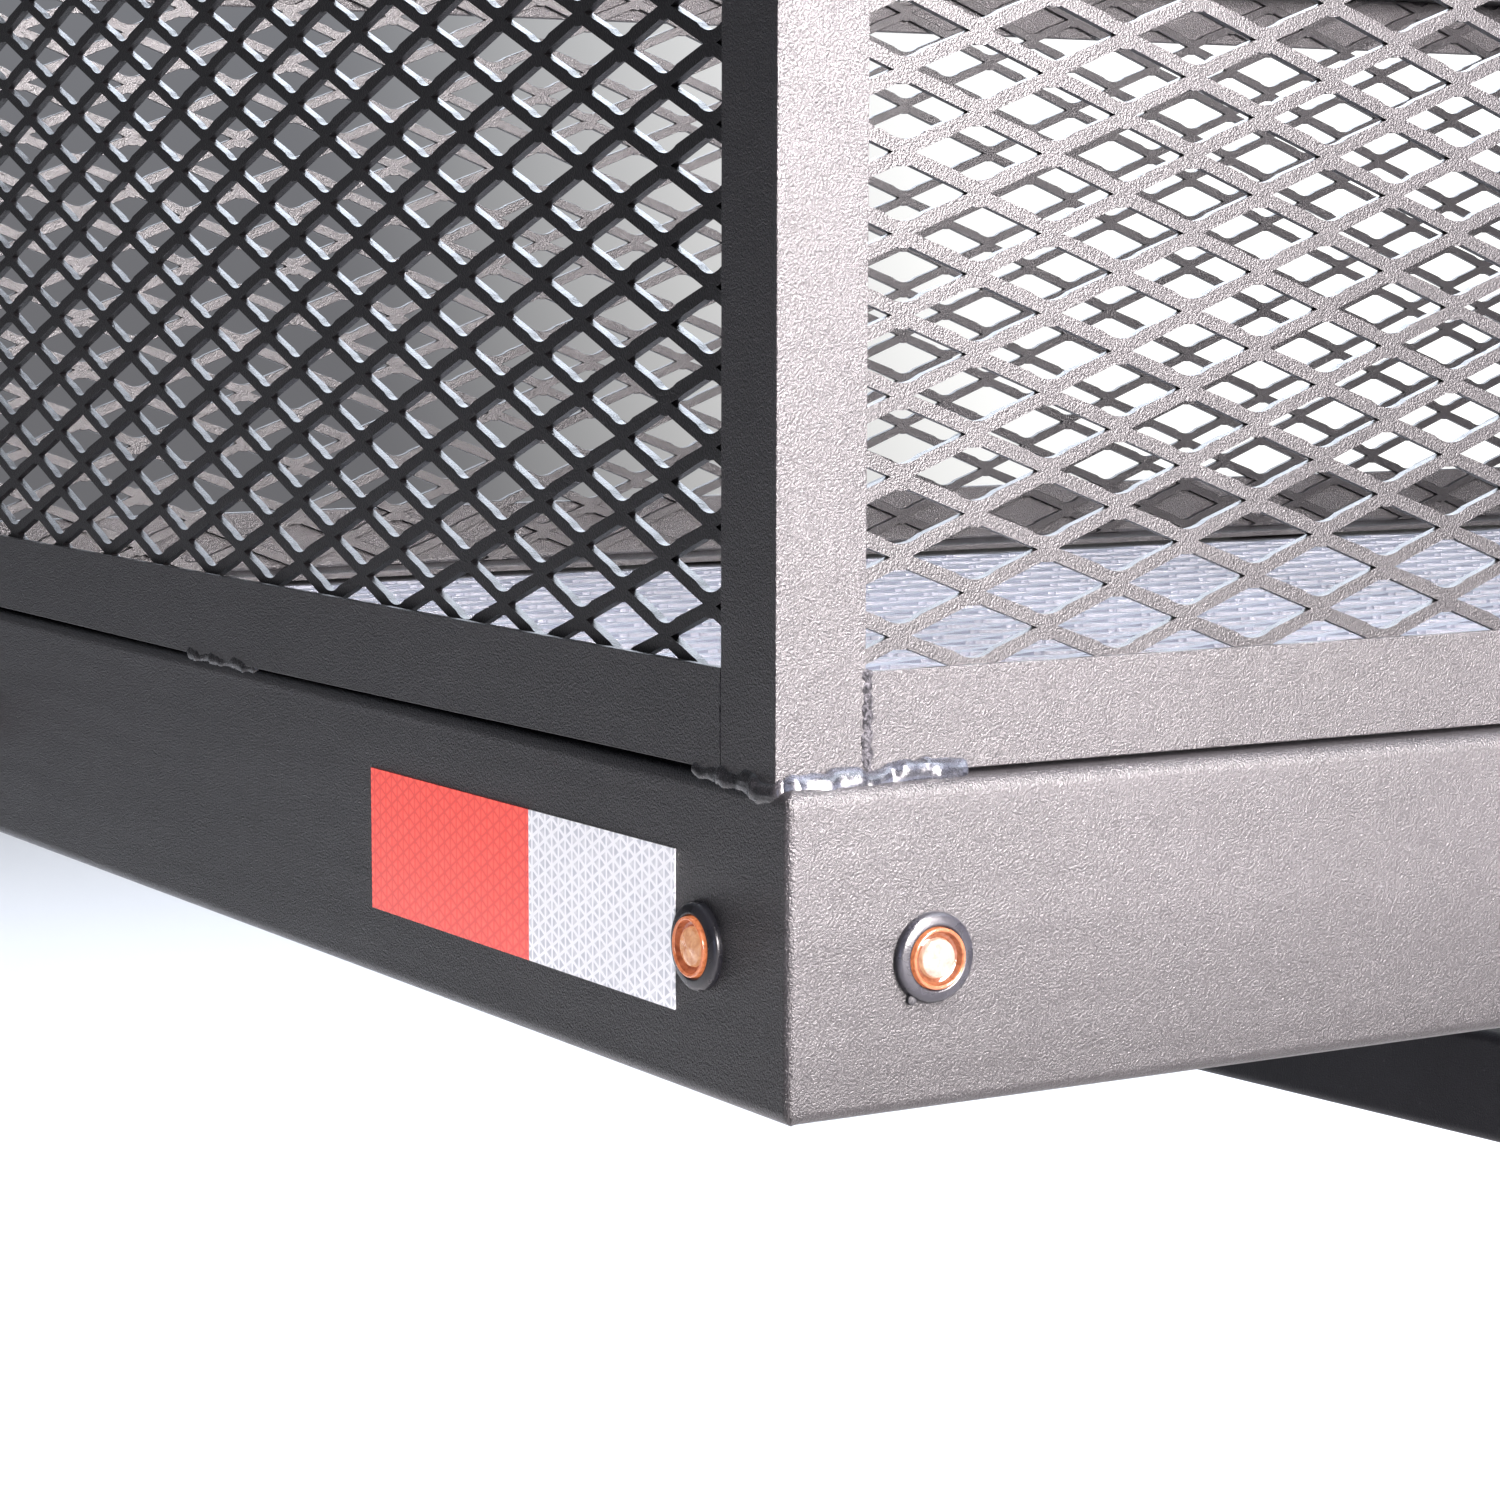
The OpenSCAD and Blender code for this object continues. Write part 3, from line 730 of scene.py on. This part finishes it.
def top_curve():
    """Upper half of an opening, tip to middle: straight strand, small ears and a short flat."""
    a, b = OPEN_A, OPEN_B
    knee = FLAT + 0.9 * MM
    straight = [(a + (knee - a) * f, (b - EAR) * f) for f in (0, 0.04, 0.3, 0.6, 0.9, 1)]
    return straight + [(FLAT, b + EAR * 0.4), (FLAT - 0.6 * MM, b - EAR * 0.6), (0, b - EAR * 0.8)]


def bottom_curve():
    """Lower half of an opening, tip to middle: straight strand that ends in a round hollow."""
    a, b = OPEN_A, OPEN_B
    bend = 7.5 * MM
    slope = (b - 0.4 * MM) / (a - 1.5 * MM)
    points = [(a + (bend - a) * f, -(a - bend) * f * slope) for f in (0, 0.04, 0.35, 0.7, 1)]
    y0 = points[-1][1]
    for f in (0.3, 0.58, 0.8, 1.0):
        x = bend * (1 - f)
        points.append((x, y0 - (b + y0) * (1 - (1 - f) ** 2.1)))
    return points


def mesh_cell(grid, cx, cz):
    """One cell around an opening: the four strands to its neighbours, as quads."""
    inner = {1: top_curve(), -1: bottom_curve()}
    for up in (1, -1):
        near, far = inner[up], inner[-up]
        n = len(near)
        for right in (1, -1):
            p = [(cx + right * x, cz + z) for x, z in near]
            q = [
                (cx + right * (LWD / 2 - x), cz + up * SWD / 2 + z)
                for x, z in reversed(far)
            ]
            faces = [[p[i], q[i], q[i + 1], p[i + 1]] for i in range(n - 1)]
            faces.append([p[0], (cx + right * LWD / 2, cz), q[0]])
            faces.append([p[-1], q[-1], (cx, cz + up * SWD / 2)])
            for face in faces:
                grid.append(face if up * right < 0 else face[::-1])


def expanded_sheet(w, h, t, ox, oz, turn=0.0, bevel=STRAND_BEVEL):
    """A flat sheet in X and Z from (0, 0) to (w, h), its face on y = 0 and its back on y = t.
    An opening is centred on (ox, oz), and the rows lean by turn degrees."""
    faces = []
    half_rows = range(int(-oz * 2 / SWD) - 4, int((h - oz) * 2 / SWD) + 5)
    for row in (r for r in half_rows if r % 2 == 0):
        for col in range(int(-ox / LWD) - 2, int((w - ox) / LWD) + 3):
            mesh_cell(faces, ox + col * LWD, oz + row * SWD / 2)
    bm = bmesh.new()
    seen = {}
    lean = math.tan(math.radians(turn))

    def vertex(point):
        """The vertex at a point. Points within 5 micrometres share one."""
        key = (round(point[0] * 1e6 / 5), round(point[1] * 1e6 / 5))
        if key not in seen:
            seen[key] = bm.verts.new((point[0], 0, point[1] + lean * point[0]))
        return seen[key]

    for face in faces:
        corners = []
        for point in face:
            v = vertex(point)
            if v not in corners:
                corners.append(v)
        if len(corners) >= 3 and bm.faces.get(corners) is None:
            bm.faces.new(corners)
    for point, normal in (
        ((0, 0, 0), (-1, 0, 0)),
        ((w, 0, 0), (1, 0, 0)),
        ((0, 0, 0), (0, 0, -1)),
        ((0, 0, h), (0, 0, 1)),
    ):
        geom = bm.verts[:] + bm.edges[:] + bm.faces[:]
        bmesh.ops.bisect_plane(
            bm, geom=geom, plane_co=point, plane_no=normal, clear_outer=True, dist=1e-6
        )
    bmesh.ops.recalc_face_normals(bm, faces=bm.faces)
    if sum(f.normal.y for f in bm.faces) > 0:
        bmesh.ops.reverse_faces(bm, faces=bm.faces)
    rim = [e for e in bm.edges if len(e.link_faces) == 1]
    back = {v: bm.verts.new(v.co + Vector((0, t, 0))) for v in list(bm.verts)}
    for face in list(bm.faces):
        bm.faces.new([back[v] for v in reversed(face.verts)])
    for edge in rim:
        loop = edge.link_loops[0]
        a, b = loop.vert, loop.link_loop_next.vert
        bm.faces.new((b, a, back[a], back[b]))
    bm.normal_update()
    sharp = [
        e
        for e in bm.edges
        if len(e.link_faces) == 2
        and e.calc_face_angle(0) > math.radians(60)
        and abs(e.verts[0].co.y - e.verts[1].co.y) < t / 2
    ]
    bmesh.ops.bevel(bm, geom=sharp, offset=bevel, segments=1, affect="EDGES", clamp_overlap=True)
    bmesh.ops.recalc_face_normals(bm, faces=bm.faces)
    return bm


def sheet_for(node, facing, along, ox, oz, turn=0.0):
    """The detailed sheet for a CAD mesh node that runs along axis 0 or 1, laid in its box."""
    lo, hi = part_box(node)
    size = hi - lo
    sheet = expanded_sheet(size[along], size.z, MESH_T, ox, oz, turn)
    place = ON_BASE.inverted() @ Matrix.Translation(lo) @ facing
    mesh_object(node + "_strands", sheet, place, MESH_COAT, [node])


# The middle of one opening, from CORNER, and how many degrees the rows lean.
FRONT_X, FRONT_Z, FRONT_LEAN = 47.3 * MM, 151.0 * MM, 0.33
SIDE_Y, SIDE_Z, SIDE_LEAN = 80.2 * MM, 147.0 * MM, 0.75
mesh_z0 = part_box("mesh_front")[0].z - CORNER.z
front_x0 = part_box("mesh_front")[0].x - CORNER.x
side_y0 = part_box("mesh_left")[0].y - CORNER.y
facing_rear = Matrix.Translation((0, MESH_T, 0)) @ Matrix.Scale(-1, 4, Y)
facing_right = Matrix.Translation((MESH_T, 0, 0)) @ Matrix.Scale(-1, 4, X) @ SWAP_X_Y
sheet_for("mesh_front", STILL, 0, FRONT_X - front_x0, FRONT_Z - mesh_z0, FRONT_LEAN)
sheet_for("mesh_rear", facing_rear, 0, FRONT_X - front_x0, FRONT_Z - mesh_z0)
sheet_for("mesh_left", SWAP_X_Y, 1, SIDE_Y - side_y0, SIDE_Z - mesh_z0, SIDE_LEAN)
sheet_for("mesh_right", facing_right, 1, SIDE_Y - side_y0, SIDE_Z - mesh_z0)

FLOOR_X, FLOOR_Y = 30 * MM, 14 * MM
FLOOR_BEVEL = 0.25 * MM
for node in ("floor_mesh_left", "floor_mesh_right"):
    lo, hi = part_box(node)
    w, d = hi.x - lo.x, hi.y - lo.y
    sheet = expanded_sheet(w, d, MESH_T, FLOOR_X, FLOOR_Y, bevel=FLOOR_BEVEL)
    # The sheet's face turns up: its Z becomes +Y and its Y becomes -Z.
    lay = placed(X, -Z, Y, Vector((lo.x, lo.y, hi.z)))
    mesh_object(node + "_strands", sheet, ON_BASE.inverted() @ lay, FLOOR_COAT_SKYLIT, [node])


# ---- weld beads ----

BEAD_STEP = 0.5  # millimetres
BEAD_RING = 24


def bead_stations(points):
    """Evenly spaced (centre, half height, half thickness, distance along), and the length."""
    places = [Vector(p[0]) for p in points]
    lengths = [0.0]
    for a, b in zip(places, places[1:]):
        lengths.append(lengths[-1] + (b - a).length)
    total = lengths[-1]
    count = max(8, int(total / BEAD_STEP))
    stations = []
    for i in range(count + 1):
        s = total * i / count
        k = max(j for j in range(len(places) - 1) if lengths[j] <= s + 1e-9)
        f = min((s - lengths[k]) / (lengths[k + 1] - lengths[k]), 1.0)
        tall = points[k][1] + (points[k + 1][1] - points[k][1]) * f
        thick = points[k][2] + (points[k + 1][2] - points[k][2]) * f
        stations.append((places[k].lerp(places[k + 1], f), tall, thick, s))
    return stations, total


def bead(points, seed, twist=24.0, rough=0.1, taper=3.0):
    """A bead along a line of (place, half height, half thickness): slow ridges that turn once in
    twist, rough lumps, and ends rounded over taper. All in millimetres."""
    stations, total = bead_stations(points)
    last = len(stations) - 1
    bm = bmesh.new()
    rows = []
    for i, (centre, tall, thick, s) in enumerate(stations):
        ahead = stations[min(i + 3, last)][0] - stations[max(i - 3, 0)][0]
        ahead.normalize()
        side = ahead.cross(Z)
        side = side.normalized() if side.length > 1e-3 else X.copy()
        up = side.cross(ahead)
        end = min(min(s, total - s) / taper, 1.0)
        fade = math.sqrt(max(0.0, 1 - (1 - end) ** 2))
        drift = 2.2 * noise.noise(Vector((s * 0.11, seed, 0)))
        row = []
        for j in range(BEAD_RING):
            angle = 2 * math.pi * j / BEAD_RING
            ridge = math.sin(2 * math.pi * s / twist + angle + drift)
            ridge += 0.45 * math.sin(2 * math.pi * s / (twist * 0.43) - angle * 2 + 2 * drift)
            swell = 1 + 0.13 * ridge
            spot = side * (math.cos(angle) * thick) + up * (math.sin(angle) * tall)
            lump = noise.noise((centre + spot) * 0.13 + Vector((seed, 0, 0)))
            lump += 0.08 * noise.noise((centre + spot) * 0.42 + Vector((0, seed, 0)))
            row.append(bm.verts.new(centre + spot * fade * (swell + lump * rough * 2.4)))
        rows.append(row)
    for a, b in zip(rows, rows[1:]):
        bridge(bm, a, b)
    bm.faces.new(rows[0])
    bm.faces.new(rows[-1][::-1])
    bmesh.ops.recalc_face_normals(bm, faces=bm.faces)
    bm.transform(Matrix.Scale(MM, 4))
    return bm


IX, IY, LEG_MM = INSET_X / MM, INSET_Y / MM, LEG / MM


def foot_smear(seed):
    """The bead at the foot of a post, on the side: low and wide, and dark with painted shade."""
    x = IX + 1.5
    path = [
        ((x, 59, 0.4), 2.2, 1.8),
        ((x, 45, 0.0), 3.8, 2.3),
        ((x, 28, -0.8), 4.4, 2.4),
        ((x - 0.2, 14, -1.6), 5.0, 2.8),
        ((x + 0.2, 6.6, -2.0), 4.9, 3.0),
    ]
    return bead(path, seed, 17.0, 0.13)


def foot_rope(seed):
    """The same bead from the corner on, along the front: a full, twisted rope."""
    y = IY - 0.4
    path = [
        ((IX + 1.8, 6, -1.8), 4.6, 3.4),
        ((IX + 5.0, y - 0.4, -1.2), 5.2, 4.1),
        ((IX + 16, y - 0.9, -0.6), 5.3, 4.5),
        ((IX + 34, y - 0.5, 0.0), 4.4, 3.9),
        ((IX + 50, y - 0.9, 1.0), 4.8, 4.3),
        ((69.5, y, 1.5), 4.2, 3.6),
    ]
    return bead(path, seed)


def foot_drip(seed):
    """A run of metal under the corner, dark with painted shade."""
    path = [
        ((IX + 0.9, 6.5, -4.2), 2.4, 1.8),
        ((IX + 3.2, 3.6, -4.4), 3.0, 2.8),
        ((IX + 10.0, 3.2, -3.8), 2.0, 2.2),
    ]
    return bead(path, seed, 9.0, 0.12)


def seam_bead(seed):
    """The upright seams between a post and the ends of the two lower rails."""
    front = [
        ((IX + LEG_MM + 0.7, IY + 0.6, z), 1.3, 2.1 + 0.25 * math.sin(z)) for z in range(2, 35, 2)
    ]
    side = [((IX + 0.7, IY + LEG_MM + 0.4, z), 0.8, 0.75) for z in range(4, 32, 2)]
    beads = bead(front, seed, 5.3, 0.16, 1.5), bead(side, seed + 3, 9, 0.05)
    return join([(shape, STILL) for shape in beads])


def all_corners(shape):
    """The same weld at all four corners, each with a seed of its own."""
    return join([(shape(3.0 + 5 * i), side) for i, side in enumerate(SIDES.values())])


# The rope on the front takes the lit weld paint; the smear and drip at the side and under the
# corner take its shaded copy.
corner_parts = {
    "corner_weld_ropes": (foot_rope, WELD_PAINT_LIT),
    "corner_weld_smears": (foot_smear, WELD_PAINT_SHADED),
    "corner_weld_drips": (foot_drip, WELD_PAINT_SHADED),
    "upright_weld_seams": (seam_bead, SEAM),
}
for name, (shape, paint) in corner_parts.items():
    mesh_object(name, all_corners(shape), STILL, paint, ["corner_welds"], smooth=70)

STITCH_AT, STITCH_L = 420.0, 67.0
STITCH_STEPS = [-0.5, -0.3, -0.1, 0.12, 0.3, 0.5]


def side_stitches():
    """One short weld under each side rail."""
    parts = []
    for i, flip in enumerate((STILL, FLIP_X)):
        path = [
            ((IX + 1.9, STITCH_AT + STITCH_L * f, -0.2), 3.4 + 0.5 * math.cos(16 * f), 2.2)
            for f in STITCH_STEPS
        ]
        parts.append((bead(path, 20.0 + i, 22.0, 0.1), flip))
    return join(parts)


def end_stitches():
    """Two short welds under each of the front and rear rails."""
    parts = []
    for i, x in enumerate((STITCH_AT, BASE_W / MM - STITCH_AT)):
        for k, flip in enumerate((STILL, FLIP_Y)):
            path = [((x + STITCH_L * f, IY - 0.6, 0.8), 3.3, 3.2) for f in STITCH_STEPS]
            parts.append((bead(path, 30.0 + i + 7 * k, 22.0, 0.1), flip))
    return join(parts)


# The side stitches take the shaded copy of the weld paint, the front and rear ones the lit copy.
mesh_object("stitch_weld_smears", side_stitches(), STILL, WELD_PAINT_SHADED, ["stitch_welds"], smooth=70)
mesh_object("stitch_weld_ropes", end_stitches(), STILL, WELD_PAINT_LIT, ["stitch_welds"], smooth=70)


# ---- marker lamps ----

LAMP_SEGMENTS = 56


def grommet():
    """Flange that slopes up to the lens, a neck through the wall and a bead behind it."""
    outer = [(14.0, 0.0), (14.0, 0.5)] + arc(11.9, 0.9, 2.1, 0, 78, 7)
    crest = arc(10.6, 2.35, 0.95, 80, 180, 6)
    neck = [(9.62, 1.2), (9.62, -5.5), (13.4, -5.5), (13.7, -4.6), (12.6, -3.1), (12.55, 0.0)]
    return turned(outer + crest + neck, LAMP_SEGMENTS)


def grommet_with_nub():
    """The same, with the stub of its moulding gate at the lower left."""
    nub = turned([(0, 0), (1.7, 0), (1.6, 1.1), (1.0, 1.6), (0, 1.7)], 16)
    for face in nub.faces:
        face.material_index = 1
    angle = math.radians(238)
    away = Vector((math.cos(angle), math.sin(angle), 0)) * 14.6 * MM
    return join([(grommet(), STILL), (nub, Matrix.Translation(away))])


def lens():
    """Raised rim, a moat, and a domed boss in the middle."""
    rim = [(9.5, -2.4), (9.5, 3.9)] + arc(8.9, 3.95, 0.6, 0, 180, 6)
    moat = [(8.1, 2.9), (7.7, 2.1), (6.9, 1.8), (6.3, 2.1)]
    boss = [(6.05, 3.0)] + arc(5.25, 3.0, 0.8, 0, 60, 3) + [(4.2, 3.95), (2.1, 4.25), (0, 4.35)]
    back = [(0, -0.4), (7.9, -0.4), (7.9, -2.4)]
    bm = turned(rim + moat + boss + back, LAMP_SEGMENTS)
    for face in bm.faces:
        centre = face.calc_center_median()
        away = math.hypot(centre.x, centre.y) / MM
        if centre.z > 0 and away < 8.3:
            face.material_index = 2 if away < 6.2 else 1
    for v in bm.verts:
        away = math.hypot(v.co.x, v.co.y) / MM
        if v.co.z > 3.8 * MM and 1.0 < away < 4.5:
            v.co.z += 0.3 * MM * math.cos(3 * math.atan2(v.co.y, v.co.x))
    return bm


def lamp_pair(side_shape, end_shape):
    """Both lamps of the front left corner. A shape's local +Z points out of the wall."""
    side = placed(-Y, Z, -X, Vector((0, LAMP_IN, -LAMP_DROP)))
    end = placed(X, Z, -Y, Vector((LAMP_IN, 0, -LAMP_DROP)))
    return join([(side_shape(), side), (end_shape(), end)])


for name, side in SIDES.items():
    tint = AMBER if name.startswith("front") else RED
    mesh_object("marker_lens_" + name, lamp_pair(lens, lens), side, tint, ["lens_" + name])
    ring = lamp_pair(grommet, grommet_with_nub)
    mesh_object("marker_grommet_" + name, ring, side, [RUBBER, PLUG], ["grommet_" + name])


# ---- CAD nodes that keep their own mesh, and the material for names that start so ----

FINISHES = (
    (("floor_joist", "floor_ledger"), COAT),
    (("shank_tube", "hanger_front", "hanger_rear"), BEAM_COAT),
    (("hanger_bolts", "hanger_washers", "hanger_nuts", "hitch_pin", "pin_clip"), ZINC),
    (("shank_end_cap", "lamp_body"), PLUG),
    (("lamp_led_boards",), BOARD),
    (("wire_grommet",), RUBBER),
    (("tape_left_white", "tape_right_white"), TAPE_WHITE),
    (("tape_left_red", "tape_right_red"), TAPE_RED),
)
for name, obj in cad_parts.items():
    for starts, material in FINISHES:
        if name.startswith(starts):
            obj.data.materials.clear()
            obj.data.materials.append(material)
    if name.startswith(("hanger_front", "hanger_rear")):
        modifier = obj.modifiers.new("soft_edges", "BEVEL")
        modifier.width = 0.8 * MM
        modifier.segments = 2
        modifier.limit_method = "ANGLE"
        modifier.angle_limit = math.radians(40)


# ---- stage, camera and lights ----

FLOOR_RADIUS = 7
FLOOR_BELOW = 0.22  # the carrier hangs this far above the floor
floor_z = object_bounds()[0][2] - FLOOR_BELOW


def stage_floor():
    """A pale, round studio floor. It is greyer in front and at the left, where it would light the
    base from below, and it glows behind the key, which leaves that part dark."""
    mesh = bpy.data.meshes.new("studio_floor")
    bm = bmesh.new()
    bmesh.ops.create_circle(bm, cap_ends=True, segments=128, radius=FLOOR_RADIUS)
    bm.to_mesh(mesh)
    bm.free()
    obj = add_object("studio_floor", mesh)
    obj.location = (0, 0, floor_z)
    m = Nodes("studio_white")
    place = m.split(m.coords)
    depth = m.range(place["Y"], CORNER.y - 0.6, CORNER.y + 0.9, 0, 1)
    side = m.range(place["X"], CORNER.x - 1.4, CORNER.x - 0.1, 0, 1)
    tone = m.mix(side, (0.27, 0.27, 0.275), (0.58, 0.58, 0.58))
    m.set(
        Base_Color=m.mix(depth, (0.22, 0.22, 0.225), tone),
        Roughness=m.range(m.noise(0.8, 2.0), 0.3, 0.7, 0.8, 0.9),
        Emission_Color=(1.0, 0.97, 0.97, 1.0),
        Emission_Strength=m.range(place["Y"], CORNER.y - 2.2, CORNER.y - 3.6, 0, 0.8),
    )
    mesh.materials.append(m.material)


stage_floor()

CAMERA_AT = Vector((-0.5794, -0.9296, 0.1568))  # from CORNER
YAW, PITCH, ROLL = math.radians(31.34), math.radians(7.49), math.radians(0.13)
camera_data = bpy.data.cameras.new("camera")
camera_data.sensor_width = 36
camera_data.lens = 90.288
camera_data.clip_end = 100
camera = add_object("camera", camera_data)
scene.camera = camera
look = Vector((math.sin(YAW) * math.cos(PITCH), math.cos(YAW) * math.cos(PITCH), -math.sin(PITCH)))
camera.matrix_world = (
    Matrix.Translation(CORNER + CAMERA_AT)
    @ look.to_track_quat("-Z", "Y").to_matrix().to_4x4()
    @ Matrix.Rotation(ROLL, 4, "Z")
)


def softbox(name, place, aim, size, power, colour):
    """A rectangular light at a place seen from CORNER, which the camera doesn't see."""
    data = bpy.data.lights.new(name, "AREA")
    data.shape = "RECTANGLE"
    data.size, data.size_y = size
    data.energy = power
    data.color = colour
    obj = add_object(name, data)
    obj.location = CORNER + Vector(place)
    obj.rotation_euler = (aim - obj.location).to_track_quat("-Z", "Y").to_euler()
    obj.visible_camera = False


WARM = (1.0, 0.925, 0.93)
middle = CORNER + Vector((0.3, 0.2, 0.0))
softbox("key", (0.55, -2.9, 0.8), middle, (1.6, 1.3), 1060, WARM)
softbox("near", (0.14, -0.55, 0.62), CORNER, (0.22, 0.3), 55, WARM)
softbox("top", (1.0, 1.7, 1.55), middle, (2.0, 1.8), 90, (0.80, 0.88, 1.0))
softbox("overhead", (1.3, -0.6, 1.8), CORNER, (1.3, 1.3), 46, (0.78, 0.87, 1.0))
softbox("edge", (-2.55, -1.55, 0.0), CORNER, (0.2, 1.6), 16, (0.45, 0.6, 1.0))

SKY_BASE = (0.15, 0.15, 0.16)
# Direction, cosines where a glow starts and where it is full, strength, colour.
SKY_GLOWS = (
    ((0.85, 0.6, 0.1), 0.86, 0.98, 1.3, (1.0, 1.0, 0.97)),
    ((0.25, 0.35, 0.9), 0.35, 0.95, 0.5, (0.78, 0.87, 1.0)),
    ((0.4, 0.55, 0.75), 0.9, 0.98, 1.2, (0.84, 0.91, 1.0)),
    ((0.35, -0.92, 0.15), 0.4, 1.0, 0.35, (1.0, 0.94, 0.95)),
)


def sky():
    """Soft studio surround: dim, with glows at the right rear, above and in front."""
    world = bpy.data.worlds.new("studio_world")
    scene.world = world
    world.use_nodes = True
    tree = world.node_tree
    background = tree.nodes["Background"]
    direction = tree.nodes.new("ShaderNodeTexCoord").outputs["Generated"]

    def vector_math(operation):
        node = tree.nodes.new("ShaderNodeVectorMath")
        node.operation = operation
        return node

    total = None
    for axis, start, full, strength, colour in SKY_GLOWS:
        dot = vector_math("DOT_PRODUCT")
        tree.links.new(direction, dot.inputs[0])
        dot.inputs[1].default_value = Vector(axis).normalized()
        glow = tree.nodes.new("ShaderNodeMapRange")
        glow.interpolation_type = "SMOOTHSTEP"
        tree.links.new(dot.outputs["Value"], glow.inputs["Value"])
        glow.inputs["From Min"].default_value = start
        glow.inputs["From Max"].default_value = full
        glow.inputs["To Max"].default_value = strength
        tinted = vector_math("SCALE")
        tinted.inputs[0].default_value = colour
        tree.links.new(glow.outputs["Result"], tinted.inputs["Scale"])
        added = vector_math("ADD")
        tree.links.new(tinted.outputs[0], added.inputs[0])
        if total is None:
            added.inputs[1].default_value = SKY_BASE
        else:
            tree.links.new(total, added.inputs[1])
        total = added.outputs[0]
    tree.links.new(total, background.inputs["Color"])
    background.inputs["Strength"].default_value = 1.0


sky()
scene.view_settings.view_transform = "Standard"
